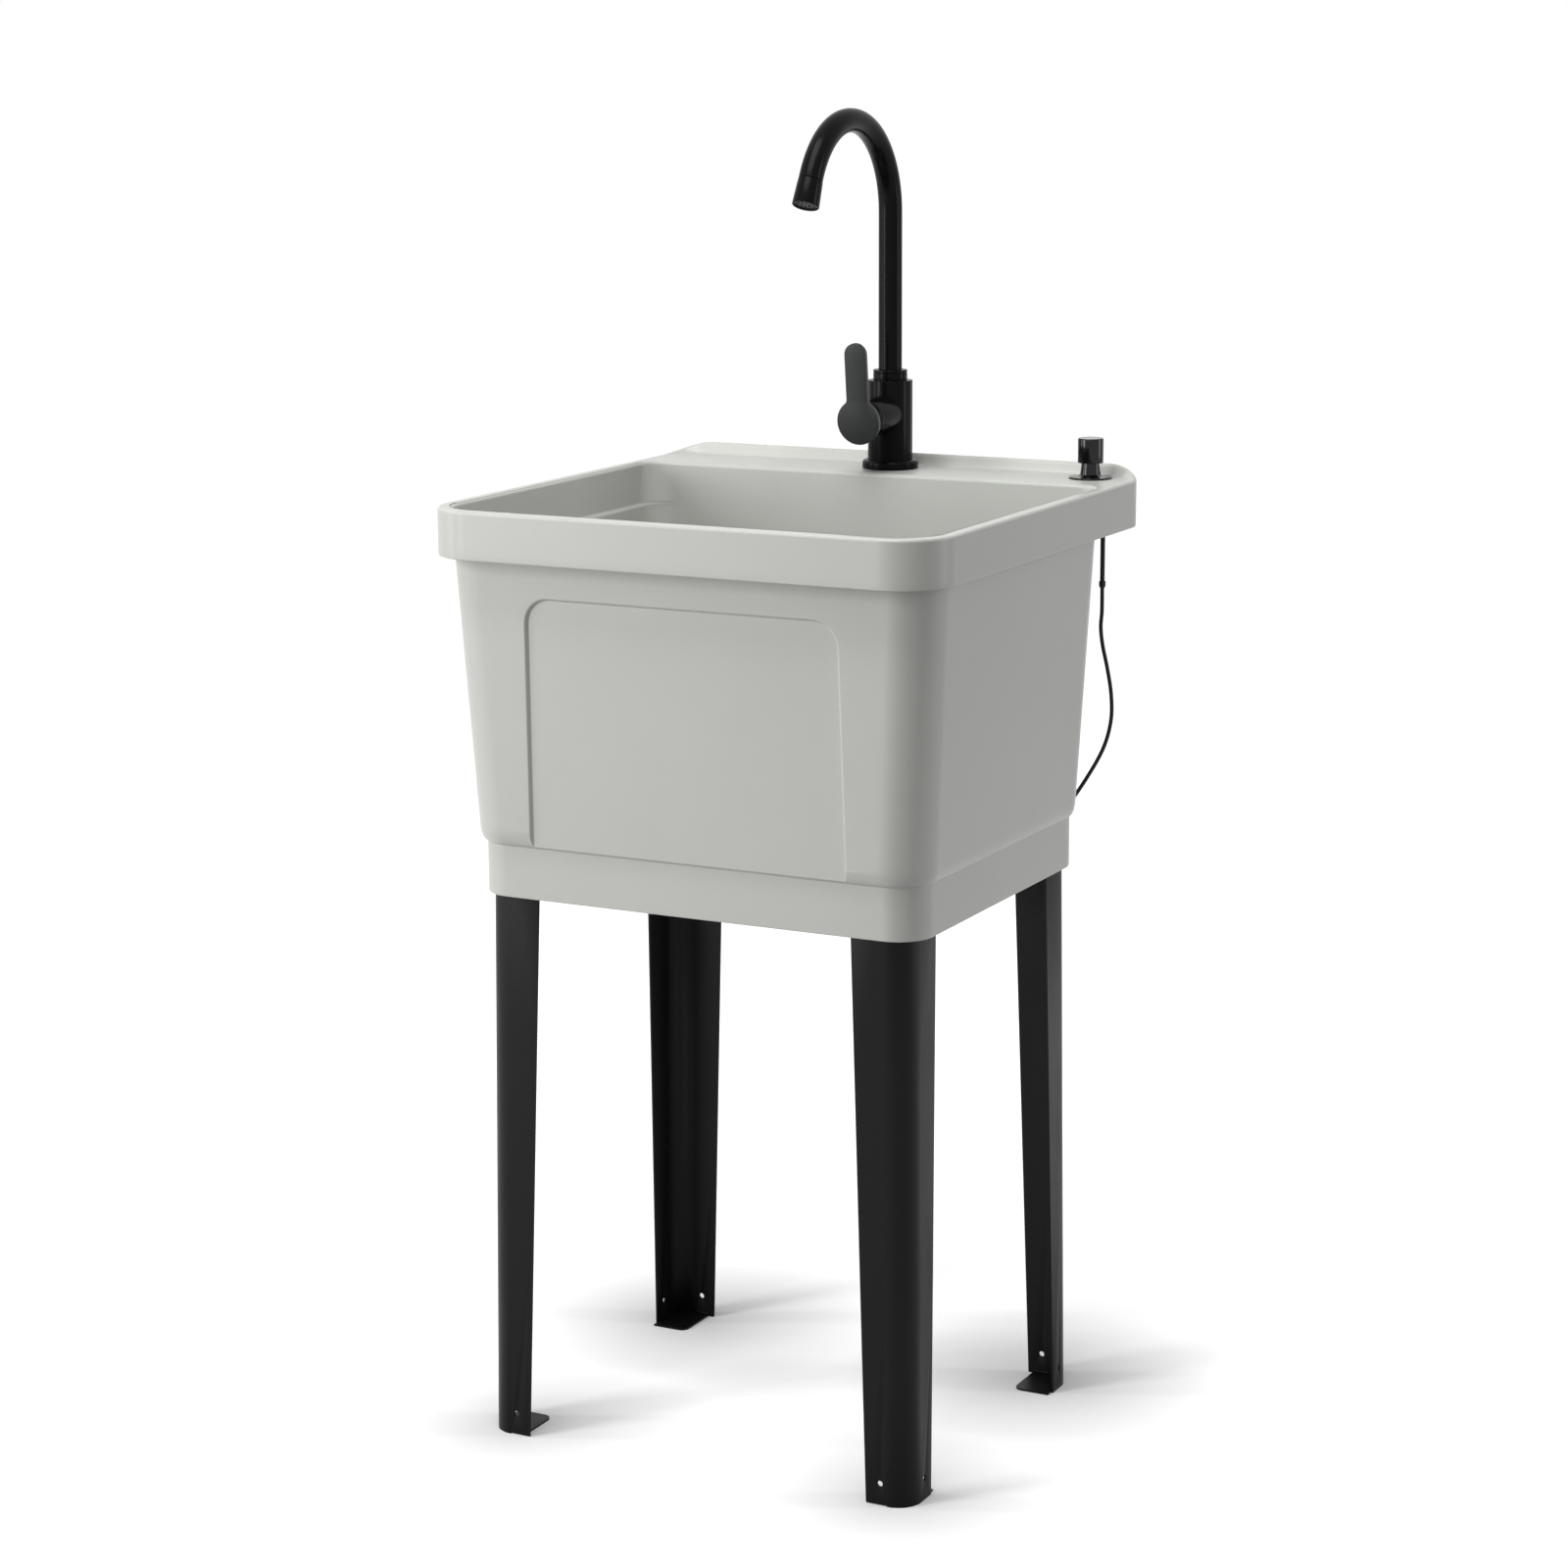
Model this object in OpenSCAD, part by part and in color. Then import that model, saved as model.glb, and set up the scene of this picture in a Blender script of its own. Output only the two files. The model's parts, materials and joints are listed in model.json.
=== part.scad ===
// Utility laundry sink: a moulded tub on four folded steel legs, with a
// swivel gooseneck tap, a turning waste knob and a cable-worked waste.
// Millimetres. Origin on the floor under the middle of the rim, front is -Y.

/* [Rim] */
// Width of the rim over its outer faces
rim_w = 505; // [470:1:540]
// Depth of the rim, front to back
rim_d = 490; // [470:1:520]
// Height of the rim's top above the floor
rim_z = 876; // [840:1:940]
// Height of the turned-down band round the rim
band_h = 44; // [38:1:50]
// Thickness of the band
band_t = 4; // [3.6:0.1:4.4]
// Thickness of the rim and tap deck
deck_t = 5; // [4.5:0.5:6]
// Corner radius of the rim at the front
rim_r_front = 50; // [44:1:58]
// Corner radius of the rim at the back
rim_r_rear = 40; // [34:1:46]
// Rounding of the rim's outer top edge
edge_r = 5; // [4:0.5:6]
// Height of the raised lip along the back
lip_h = 11; // [6:1:16]
// Thickness of the lip at its top
lip_t = 4.5; // [3:0.5:5.5]
// Depth of the tap deck behind the basin
deck_d = 84; // [80:1:92]

/* [Basin] */
// Width of the basin's mouth
mouth_w = 478; // [468:1:480]
// Distance from the rim's front face to the basin's mouth
mouth_front = 14; // [12:1:18]
// Wall of the basin
wall_t = 6; // [5:0.5:7]
// Corner radius of the basin's mouth at the front
mouth_r_front = 38; // [34:1:44]
// Corner radius of the basin's mouth at the back
mouth_r_rear = 28; // [22:1:32]
// Rounding between the basin's walls and floor
floor_r = 24; // [18:1:30]
// Fall of the basin's floor towards the waste
floor_fall = 4; // [2:1:6]
// Thickness of the floor round the waste
floor_t = 8; // [7:0.5:10]

/* [Body] */
// Outer width of the tub just under the rim
body_w_top = 486; // [480:1:490]
// Outer width of the tub at its lower edge
body_w_low = 458; // [452:1:470]
// Distance from the rim's front face to the tub's front wall
body_front = 20; // [17:1:24]
// How far the front wall leans back from top to bottom
front_lean = 10; // [6:1:14]
// How far the back wall leans forward from top to bottom
rear_lean = 5; // [2:1:6]
// Corner radius of the tub
body_r = 40; // [34:1:46]
// Height of the rounded lower edge of the tub
belly_h = 18; // [12:1:24]

/* [Front panel] */
// Width of the sunk panel at its top
panel_w_top = 310; // [260:1:340]
// Width of the sunk panel at its foot
panel_w_low = 317; // [270:1:345]
// Distance from the band's lower edge to the top of the panel
panel_drop = 33; // [24:1:60]
// Corner radius of the panel
panel_r = 24; // [16:1:34]
// Depth of the panel
panel_depth = 3; // [2:0.5:3.5]

/* [Skirt] */
// Width of the skirt under the tub
skirt_w = 446.4; // [440:0.2:450]
// Depth of the skirt
skirt_d = 364; // [358:1:368]
// Distance from the rim's front face to the skirt
skirt_front = 38; // [36:1:40]
// Height of the skirt
skirt_h = 48.5; // [44:0.5:56]
// Height of the skirt's lower edge above the floor
skirt_z = 519; // [480:1:580]
// Wall of the skirt
skirt_t = 3; // [2.5:0.5:4]
// Corner radius of the skirt
skirt_r = 34; // [32:1:40]

/* [Legs] */
// Width of each flange where it leaves the skirt
leg_w_top = 56; // [50:1:62]
// Width of each flange at the floor
leg_w_low = 44; // [42:1:50]
// Thickness of the leg's sheet steel
leg_t = 2; // [1.6:0.2:2.6]
// Lean of each leg outwards, in degrees, both ways
leg_lean = 0.6; // [0.2:0.1:1]
// Space between the skirt's side wall and the leg
leg_side_gap = 6.5; // [5.5:0.5:8]
// Length of the foot under each leg
foot_l = 52; // [40:1:60]
// Width of the foot
foot_w = 38; // [34:1:40]
// Height of the fixing holes above the floor
foot_hole_z = 21; // [16:1:30]
// Diameter of the fixing holes
foot_hole_d = 5.5; // [4:0.5:7]

/* [Tap] */
// Distance from the rim's back face to the tap
tap_back = 39; // [38.5:0.5:41]
// Diameter of the tap's body
tap_d = 43; // [41:0.2:44]
// Height of the tap's body above the deck
tap_h = 84.9; // [82:0.1:92]
// Diameter of the flange at the tap's foot
tap_flange_d = 53.8; // [50:0.2:54]
// Height of that flange
tap_flange_h = 8.5; // [6:0.5:12]
// Diameter of the collar on top of the body
collar_d = 33; // [30:0.5:36]
// Height of the collar
collar_h = 10; // [8:0.5:14]
// Diameter of the spout tube
spout_d = 22.6; // [20:0.2:23]
// Wall of the spout tube
spout_t = 1.5; // [1:0.1:2]
// Radius of the spout's bend, to the middle of the tube
bend_r = 88.5; // [70:0.5:100]
// Height of the bend's centre above the deck
bend_z = 244.3; // [200:0.1:280]
// Sweep of the bend
bend_sweep = 155.5; // [130:0.5:170]
// Length of the nozzle
nozzle_l = 25; // [20:1:32]
// Diameter of the nozzle at its mouth
nozzle_d = 25.4; // [24:0.2:28]

/* [Handle] */
// Height of the handle's axis above the deck
handle_z = 53; // [50:0.5:56]
// Diameter of the branch that holds the cartridge
branch_d = 36; // [35:0.2:37]
// Distance from the tap's axis to the front of the handle
handle_reach = 72; // [70:0.5:76]
// Diameter of the handle's round hub
hub_d = 43.5; // [42:0.5:46]
// Width of the lever
lever_w = 22; // [18:0.1:26]
// Length of the lever above the handle's axis
lever_l = 75.3; // [60:0.1:90]
// Thickness of the hub and lever
lever_t = 6; // [5.5:0.1:7]
// Lean of the closed lever forwards, in degrees
lever_lean = 6; // [0:0.5:6]

/* [Waste knob] */
// Distance from the rim's side face to the knob
knob_side = 46; // [44:0.5:60]
// Distance from the rim's back face to the knob
knob_back = 34; // [32.5:0.5:40]
// Diameter of the knob
knob_d = 24.4; // [22:0.2:28]
// Height of the knob's top above the deck
knob_top = 38; // [34:0.5:46]
// Height of the knob's underside above the deck
knob_foot = 14.8; // [12:0.1:18]
// Diameter of the rosette under the knob
rosette_d = 41; // [34:0.5:42]
// Distance from the knob's axis to the cable
cable_offset = 13.5; // [12:0.5:15]
// Length of the cable's guide tube below the housing
guide_l = 60; // [40:1:80]

/* [Waste] */
// Distance from the rim's front face to the waste
drain_front = 218; // [205:1:230]
// Diameter of the waste's flange
drain_flange_d = 70; // [66:1:76]
// Diameter of the hole in the tub for the waste
drain_hole_d = 46; // [45.6:0.2:47]
// Diameter of the tailpiece
tail_d = 38.1; // [37.5:0.1:38.5]
// Height of the tailpiece's end above the floor
tail_z = 476; // [470:1:478]
// Lift of the plug
plug_lift = 10; // [6:0.5:10]

/* [Hidden] */
// Facets
arc_n = 96;
small_n = 48;
corner_n = 9;
edge_n = 3;
ball_n = 12;
round_n = 4;
hex_n = 6;
cut = 2;

// Heights
band_z = rim_z - band_h;
under_z = rim_z - deck_t;
step_z = skirt_z + skirt_h;
belly_z = step_z + belly_h;
ceil_up = 51;
ceil_z = skirt_z + ceil_up;
drain_z = ceil_z + floor_t;
floor_z = drain_z + floor_fall;
ledge_drop = 2.5;
ledge_z = band_z + ledge_drop;

// Plan positions, all taken from the rim
front_y = -rim_d / 2;
rear_y = rim_d / 2;
mouth_y0 = front_y + mouth_front;
mouth_y1 = rear_y - deck_d;
rear_ledge_in = 0.5;
body_y0 = front_y + body_front;
body_y1 = mouth_y1 + wall_t + rear_ledge_in;
skirt_y0 = front_y + skirt_front;
skirt_y1 = skirt_y0 + skirt_d;
drain_y = front_y + drain_front;
tap_y = rear_y - tap_back;
knob_x = rim_w / 2 - knob_side;
knob_y = rear_y - knob_back;

// Lip along the back: where its front face ends and how it dies away at the corners
lip_foot = 11.5;
lip_fade = 52;
lip_face_shares = [[0.3, 0.8], [0.55, 0.35], [0.8, 0.07], [1, 0]];
lip_fade_power = 3;

// Basin
mouth_edge_r = 3.5;
drain_flat_r = 62;
ledge_in = 1.5;
inner_corner_in = 4;

// Legs
leg_fit = 0.1;
leg_skirt_gap = 0.8;
leg_fold_in = 8;
leg_r = skirt_r - skirt_t - leg_fold_in;
leg_end_gap = 0.1;
leg_over = 20;
leg_x = skirt_w / 2 - skirt_t - leg_side_gap;
leg_y0 = skirt_y0 + skirt_t + leg_skirt_gap;
leg_y1 = skirt_y1 - skirt_t - leg_skirt_gap;
leg_top_z = ceil_z - leg_end_gap;
foot_r = 8;
foot_bend_r = 5;
foot_hole_in = 30;
pad_l = 52;
leg_screw_z = 24;
leg_screw_in_shares = [0.5, 0.8];
leg_screw_r = 2;
leg_screw_head_r = 4;
leg_screw_head_h = 2.2;
leg_screw_l = 8;
thread_gap = 0.05;

// Tap
tap_r = tap_d / 2;
tap_seal_t = 1.5;
shank_r = 15;
shank_bore_r = 11;
shank_l = 60;
shank_in = 10;
tap_hole_r = 17.5;
washer_gap = 0.2;
tap_washer_r = 25;
tap_rubber_t = 3;
tap_metal_t = 1.5;
tap_nut_r = 22;
tap_nut_h = 10;
inlet_r = 4.6;
inlet_x = 5.6;
inlet_l = 12;
inlet_wall = 1.2;
inlet_end_r = 5;
inlet_end_l = 14;
inlet_below = 3;
socket_z = 34;
bush_t = 2.6;
socket_r = spout_d / 2 + bush_t;
run_gap = 0.05;
spout_end_z = 36;
bush_l = 25;
bend_over = 1.5;
clip_t = 1.4;
clip_gap = 0.1;
clip_in = 0.4;
clip_r = socket_r - clip_in;
o_ring_z_shares = [0.18, 0.36];
o_ring_r = (socket_r - spout_d / 2 - 2 * run_gap) / 2;
nozzle_groove = 0.7;
nozzle_spigot_l = 3;
nozzle_wall = 1.6;
aerator_t = 8;
aerator_in = 1.2;
aerator_hole_r = 1.1;
aerator_pitch = 3.96;
aerator_hole_n = 16;
flange_round = 3.2;
flange_edge = 0.8;
collar_groove_shares = [0.72, 0.76];

// Handle, measured forward from the tap's axis
pivot_in = 17;
pivot_s = handle_reach - lever_t - pivot_in;
branch_r = branch_d / 2;
branch_wall = 2.5;
cartridge_r = branch_r - branch_wall;
cartridge_sunk = 3.3;
cartridge_s = tap_r - cartridge_sunk;
bonnet_up = 1;
bonnet_s = pivot_s + bonnet_up;
nose_l = 3;
cartridge_nose_s = bonnet_s + nose_l;
cartridge_nose_r = 9;
dome_r = 19.5;
dome_hole_r = 11.5;
bonnet_bore_r = 12;
ball_r = 5;
ball_gap = 0.3;
stem_r = 3.2;
turret_r = 9;
turret_gap = 0.3;
turret_h = 4.2;
turret_s0 = cartridge_nose_s + turret_gap;
turret_s1 = turret_s0 + turret_h;
turret_slot_half = 6.4;
dish_r = 18.5;
dish_depth = 3.2;
boss_r = 5;
boss_l = 1.5;
boss_gap = 0.3;
lever_fillet_r = 5;
set_screw_r = 1.2;
set_screw_l = 6;
set_screw_back = 1.6;
stem_back = 1;
lever_edge = 0.8;

// Waste knob
neck_top_gap = 0.3;
neck_r_top = 8.5;
neck_r_low = 9.8;
neck_h_low = 3.8;
rosette_edge_h = 1.8;
rosette_edge_share = 0.6;
rosette_slope_shares = [0.72, 1.1];
rosette_neck_share = 0.72;
knob_shank_r = 6;
knob_shank_l = 24;
spindle_r = 3;
knob_gasket_t = 0.8;
knob_gasket_r = 16;
knob_washer_t = 2;
knob_washer_r = 14;
knob_nut_h = 6;
knob_nut_r = 10.5;
knob_edge = 0.8;
spindle_in = 12;
housing_gap = 2;
housing_top = deck_t + knob_washer_t + knob_nut_h + housing_gap;
housing_h = 26;
housing_r = 13;
housing_tip_r = 6.5;
spindle_deep = 10;
guide_r = 2.25;
guide_in = 5;
ferrule_r = 3.2;
ferrule_l = 7;
ferrule_cone_l = 2.4;
ferrule_lap = 4;
cable_d = 3.8;
cable_x = knob_x + cable_offset;
guide_z = rim_z - housing_top - housing_h;
cable_top_z = guide_z - guide_l - ferrule_l + ferrule_lap;

// Waste
flange_seat = 2;
drain_seal_t = 0.8;
drain_seal_in = 1;
throat_r = 20.5;
drain_hole_gap = 0.5;
thread_r = drain_hole_d / 2 - drain_hole_gap;
flange_tube_l = 32;
rim_bead = 2.2;
drain_washer_r = 32;
drain_rubber_t = 3;
drain_slip_t = 1;
drain_nut_r = 33;
drain_nut_h = 11;
tail_wall = 1.6;
tail_spigot_l = 13;
tail_neck_in = 0.35;
tail_top_in = 7;
tail_gasket_t = 1.5;
tail_collar_t = 4;
tail_collar_r = thread_r;
plug_gap = 0.7;
plug_head_h = 5.5;
plug_seal_r = 0.9;
plug_seal_in = 0.5;
plug_seal_z = 3.5;
plug_stem_r = 4;
paddle_t = 6;
paddle_w = 13;
paddle_h = 26;
eye_r = 3.7;
pivot_x = 25;
pivot_r = 4.9;
pivot_bore_r = 5;
rod_r = 2;
rod_inner = 29;
rod_outer = 35;
port_r = 9;
port_l = 31;
port_nut_r = 12.5;
port_nut_l = 8;
port_nut_hole_r = 4.8;
wire_x = 55;
wire_arm = wire_x - pivot_x;
port_drop = 61;
port_z = drain_z - port_drop;
rod_angle = asin(plug_lift / 2 / pivot_x);
wire_z = port_z + wire_arm * sin(rod_angle);
clevis_w = 9;
clevis_h = 15;
clevis_slot_w = 4.6;
clevis_slot_h = 6.6;
wire_r = 0.8;
bracket_z0 = 490;
bracket_h = 8;
bracket_t = 3;
bracket_gap = 0.05;
low_ferrule_z = 486;
low_ferrule_l = 15;
wire_travel = 2 * (wire_z - port_z);
wire_stop = 0.5;

// Cable route, from the guide tube down behind the tub and up to the waste
cable_route = [
    [220, 211, 769], [220, 211, 750], [219.5, 210, 735], [222, 209, 718],
    [228, 207, 696], [233, 205, 672], [234, 203, 648], [228, 201, 622],
    [214, 198, 594], [194, 193, 562], [172, 185, 532], [148, 168, 506],
    [124, 140, 493], [104, 104, 491], [84, 67, 486.5], [67, 36, 477.5],
    [60, 9, 468.7], [56.5, -8, 468], [55, -17.5, 472], [55, -24, 479.5], [55, -27, 486]
];
cable_steps = 4;
cable_sides = 8;
cable_side_dir = [0.82, -0.57, 0];

tub_colour = [0.75, 0.75, 0.73];
black = [0.09, 0.09, 0.1];
dark_chrome = [0.16, 0.16, 0.17];
rubber = [0.05, 0.05, 0.05];
nylon = [0.85, 0.85, 0.82];
brass = [0.72, 0.6, 0.35];
steel = [0.7, 0.7, 0.72];
white_plastic = [0.88, 0.88, 0.86];

// Tub rings: [z, half width, front y, back y, front radius, back radius, lip height]
function clamp01(v) = max(0, min(1, v));
function lip_here(y, y1) = pow(clamp01((y - (y1 - lip_fade)) / lip_fade), lip_fade_power);
function ring_points(r) = [
    for (c = [0:3]) for (i = [0:corner_n])
        let (right = c < 2, front = c == 0 || c == 3)
        let (rad = front ? r[4] : r[5], a = -90 + 90 * (c + i / corner_n))
        let (x = (right ? r[1] - rad : rad - r[1]) + rad * cos(a))
        let (y = (front ? r[2] + rad : r[3] - rad) + rad * sin(a))
        [x, y, r[0] + r[6] * lip_here(y, r[3])]
];
function rim_ring(in, z, lip) =
    [z, rim_w / 2 - in, front_y + in, rear_y - in, rim_r_front - in, rim_r_rear - in, lip];
function mouth_ring(in, z) =
    [z, mouth_w / 2 - in, mouth_y0 + in, mouth_y1 - in, mouth_r_front - in, mouth_r_rear - in, 0];
function fall(z) = (band_z - z) / (band_z - belly_z);
function body_half(z) = body_w_top / 2 - fall(z) * (body_w_top - body_w_low) / 2;
function body_front_at(z) = body_y0 + fall(z) * front_lean;
function body_rear_at(z) = body_y1 - fall(z) * rear_lean;
function body_ring(z) = [z, body_half(z), body_front_at(z), body_rear_at(z), body_r, body_r, 0];
function basin_ring(z, in) =
    let (r = body_r - wall_t + inner_corner_in)
    [z, body_half(z) - wall_t - in, body_front_at(z) + wall_t + in,
     mouth_y1 - rear_ledge_in - fall(z) * rear_lean - in, r, mouth_r_rear + inner_corner_in, 0];
function skirt_ring(in, z) =
    [z, skirt_w / 2 - in, skirt_y0 + in, skirt_y1 - in, skirt_r - in, skirt_r - in, 0];
function blend(a, b, t) = [for (i = [0:len(a) - 1]) a[i] + (b[i] - a[i]) * t];
function at_z(r, z) = [z, r[1], r[2], r[3], r[4], r[5], r[6]];

drain_flat = [drain_z, drain_flat_r, drain_y - drain_flat_r, drain_y + drain_flat_r,
              drain_flat_r - cut, drain_flat_r - cut, 0];
basin_low = basin_ring(floor_z + floor_r, 0);
skirt_top = skirt_ring(0, step_z);
belly = body_ring(belly_z);
skirt_edge_r = 1.2;
band_edge_r = 1.2;

tub_rings = concat(
    [drain_flat],
    [for (i = [0:round_n]) let (a = 90 * (1 - i / round_n), in = floor_r * (1 - cos(a)))
        [floor_z + floor_r * (1 - sin(a)), basin_low[1] - in, basin_low[2] + in,
         basin_low[3] - in, basin_low[4], basin_low[5], 0]],
    [basin_ring(ledge_z - ledge_drop, 0), basin_ring(ledge_z - ledge_drop / 3, ledge_in / 3),
     mouth_ring(ledge_in, ledge_z)],
    [for (i = [0:edge_n]) let (a = 90 * i / edge_n)
        mouth_ring(mouth_edge_r * (cos(a) - 1), rim_z - mouth_edge_r * (1 - sin(a)))],
    [rim_ring(lip_foot, rim_z, 0)],
    [for (i = [len(lip_face_shares) - 2:-1:0]) let (s = lip_face_shares[i])
        rim_ring(lip_t + (lip_foot - lip_t) * s[0], rim_z, lip_h * s[1])],
    [for (i = [edge_n:-1:0]) let (a = 90 * i / edge_n)
        rim_ring(lip_t * (1 - cos(a)), rim_z - edge_r * (1 - sin(a)), lip_h)],
    [rim_ring(0, band_z + band_edge_r, 0), rim_ring(band_edge_r, band_z, 0),
     rim_ring(band_t, band_z, 0), rim_ring(band_t, under_z, 0)],
    [body_ring(under_z), belly],
    [for (i = [1:round_n]) let (a = 90 * i / round_n)
        at_z(blend(skirt_top, belly, cos(a)), step_z + belly_h * (1 - sin(a)))],
    [skirt_ring(0, skirt_z + skirt_edge_r), skirt_ring(skirt_edge_r, skirt_z),
     skirt_ring(skirt_t, skirt_z), skirt_ring(skirt_t, ceil_z)]
);

// Solid skin through a list of rings, closed by a flat face at each end
module ring_loft(rings) {
    n = len(rings[0]);
    last = (len(rings) - 1) * n;
    polyhedron(
        points = [for (r = rings) each r],
        faces = concat(
            [[for (j = [n - 1:-1:0]) j]],
            [for (k = [0:len(rings) - 2]) for (j = [0:n - 1]) let (m = (j + 1) % n)
                [k * n + j, k * n + m, (k + 1) * n + m]],
            [for (k = [0:len(rings) - 2]) for (j = [0:n - 1]) let (m = (j + 1) % n)
                [k * n + j, (k + 1) * n + m, (k + 1) * n + j]],
            [[for (j = [0:n - 1]) last + j]]
        )
    );
}

// Outline of the sunk panel, grown outwards by g
function panel_outline(g) =
    let (ht = panel_w_top / 2 + g, hl = panel_w_low / 2 + g, r = panel_r + g)
    let (top = band_z - panel_drop + g, low = step_z - cut)
    concat(
        [[hl, low]],
        [for (i = [0:corner_n]) let (a = 90 * i / corner_n)
            [ht - r + r * cos(a), top - r + r * sin(a)]],
        [for (i = [0:corner_n]) let (a = 90 + 90 * i / corner_n)
            [-ht + r + r * cos(a), top - r + r * sin(a)]],
        [[-hl, low]]
    );
module panel_cut() {
    ring_loft([
        [for (p = panel_outline(cut)) [p[0], body_front_at(p[1]) - cut, p[1]]],
        [for (p = panel_outline(0)) [p[0], body_front_at(p[1]) + panel_depth, p[1]]]
    ]);
}

module ring(r1, r0, h) {
    difference() {
        cylinder(r = r1, h = h, $fn = arc_n);
        translate([0, 0, -cut]) cylinder(r = r0, h = h + 2 * cut, $fn = arc_n);
    }
}
module hex_nut(r1, r0, h) {
    difference() {
        cylinder(r = r1, h = h, $fn = hex_n);
        translate([0, 0, -cut]) cylinder(r = r0, h = h + 2 * cut, $fn = arc_n);
    }
}

// Puts a leg's own frame at its corner: x and y run inwards along the flanges
module at_leg(side, end) {
    y = end < 0 ? leg_y0 : leg_y1;
    translate([side * leg_x, y, skirt_z])
        mirror([side > 0 ? 1 : 0, 0, 0])
            mirror([0, end > 0 ? 1 : 0, 0])
                rotate([-leg_lean, leg_lean, 0])
                    translate([0, 0, -skirt_z]) children();
}

// One leg: folded angle, narrower towards the floor, with a foot turned inwards
module leg_angle() {
    h = leg_top_z + 2 * leg_over;
    translate([0, 0, -leg_over]) {
        translate([leg_r, 0, 0]) cube([leg_w_top - leg_r, leg_t, h]);
        translate([0, leg_r, 0]) cube([leg_t, leg_w_top - leg_r, h]);
        intersection() {
            translate([leg_r, leg_r, 0]) ring(leg_r, leg_r - leg_t, h);
            cube([leg_r, leg_r, h]);
        }
    }
}
module flange_trim() {
    slope = atan((leg_w_top - leg_w_low) / skirt_z);
    translate([leg_w_low, -cut, 0])
        rotate([0, slope, 0])
            translate([0, 0, -leg_over]) cube([leg_w_top, leg_r, leg_top_z + 2 * leg_over]);
}
module foot_plate() {
    intersection() {
        translate([leg_t, leg_t / 2, 0]) cube([foot_w - leg_t, foot_l - leg_t / 2, leg_t]);
        union() {
            translate([leg_r, leg_r, 0]) cylinder(r = leg_r - leg_t / 2, h = leg_t, $fn = arc_n);
            translate([leg_r, 0, 0]) cube([foot_w, foot_l, leg_t]);
            translate([0, leg_r, 0]) cube([foot_w, foot_l, leg_t]);
        }
        union() {
            cube([foot_w, foot_l - foot_r, leg_t]);
            cube([foot_w - foot_r, foot_l, leg_t]);
            translate([foot_w - foot_r, foot_l - foot_r, 0])
                cylinder(r = foot_r, h = leg_t, $fn = small_n);
        }
    }
}
module leg(side, end) {
    span = rim_w;
    color(black)
    difference() {
        union() {
            intersection() {
                at_leg(side, end) difference() {
                    leg_angle();
                    flange_trim();
                    mirror([1, -1, 0]) flange_trim();
                    translate([foot_hole_in, -cut, foot_hole_z])
                        rotate([-90, 0, 0])
                            cylinder(d = foot_hole_d, h = leg_t + 2 * cut, $fn = small_n);
                    translate([-cut, foot_hole_in, foot_hole_z])
                        rotate([0, 90, 0])
                            cylinder(d = foot_hole_d, h = leg_t + 2 * cut, $fn = small_n);
                    leg_screw_holes();
                }
                translate([-span, -span, 0]) cube([2 * span, 2 * span, leg_top_z]);
            }
            at_foot(side, end) {
                foot_plate();
                translate([leg_r, leg_t / 2, leg_t / 2]) difference() {
                    cube([foot_w - leg_r, foot_bend_r - leg_t / 2, foot_bend_r - leg_t / 2]);
                    translate([-cut, foot_bend_r - leg_t / 2, foot_bend_r - leg_t / 2])
                        rotate([0, 90, 0])
                            cylinder(r = foot_bend_r - leg_t, h = leg_w_low, $fn = small_n);
                }
            }
        }
        at_foot(side, end) translate([leg_r, -cut, -cut]) difference() {
            cube([leg_w_low, foot_bend_r + cut, foot_bend_r + cut]);
            translate([-cut, foot_bend_r + cut, foot_bend_r + cut]) rotate([0, 90, 0])
                cylinder(r = foot_bend_r, h = leg_w_low + 2 * cut, $fn = small_n);
        }
    }
}
// Puts a leg's foot at the floor under its corner
module at_foot(side, end) {
    spread = skirt_z * tan(leg_lean);
    y = end < 0 ? leg_y0 : leg_y1;
    translate([side * (leg_x + spread), y + end * spread, 0])
        mirror([side > 0 ? 1 : 0, 0, 0])
            mirror([0, end > 0 ? 1 : 0, 0]) children();
}

// Screws through each leg's side flange into the pad on the skirt
module at_leg_screws() {
    for (s = leg_screw_in_shares)
        translate([0, leg_w_top * s, skirt_z + leg_screw_z])
            rotate([0, 90, 0]) children();
}
module leg_screw_holes() {
    at_leg_screws()
        translate([0, 0, -cut])
            cylinder(r = leg_screw_r + washer_gap, h = leg_t + 2 * cut, $fn = small_n);
}
module leg_screws() {
    color(steel)
    for (side = [-1, 1]) for (end = [-1, 1])
        at_leg(side, end) at_leg_screws() {
            translate([0, 0, leg_t])
                cylinder(r = leg_screw_head_r, h = leg_screw_head_h, $fn = small_n);
            translate([0, 0, leg_t - leg_screw_l])
                cylinder(r = leg_screw_r, h = leg_screw_l, $fn = small_n);
        }
}
// Pad that fills the space between the skirt's side wall and the leg
module leg_pad() {
    at_leg(1, -1) leg_pad_block();
    at_leg(1, 1) leg_pad_block();
    at_leg(-1, -1) leg_pad_block();
    at_leg(-1, 1) leg_pad_block();
}
module leg_pad_block() {
    pad_in = skirt_r / 2;
    difference() {
        translate([-leg_side_gap - skirt_t / 2, pad_in, skirt_z + skirt_t])
            cube([leg_side_gap + skirt_t / 2 - leg_fit, pad_l - pad_in,
                ceil_z + cut - skirt_z - skirt_t]);
        at_leg_screws()
            translate([0, 0, leg_t - leg_screw_l - cut / 2])
                cylinder(r = leg_screw_r + thread_gap, h = leg_screw_l + cut, $fn = small_n);
    }
}

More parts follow.
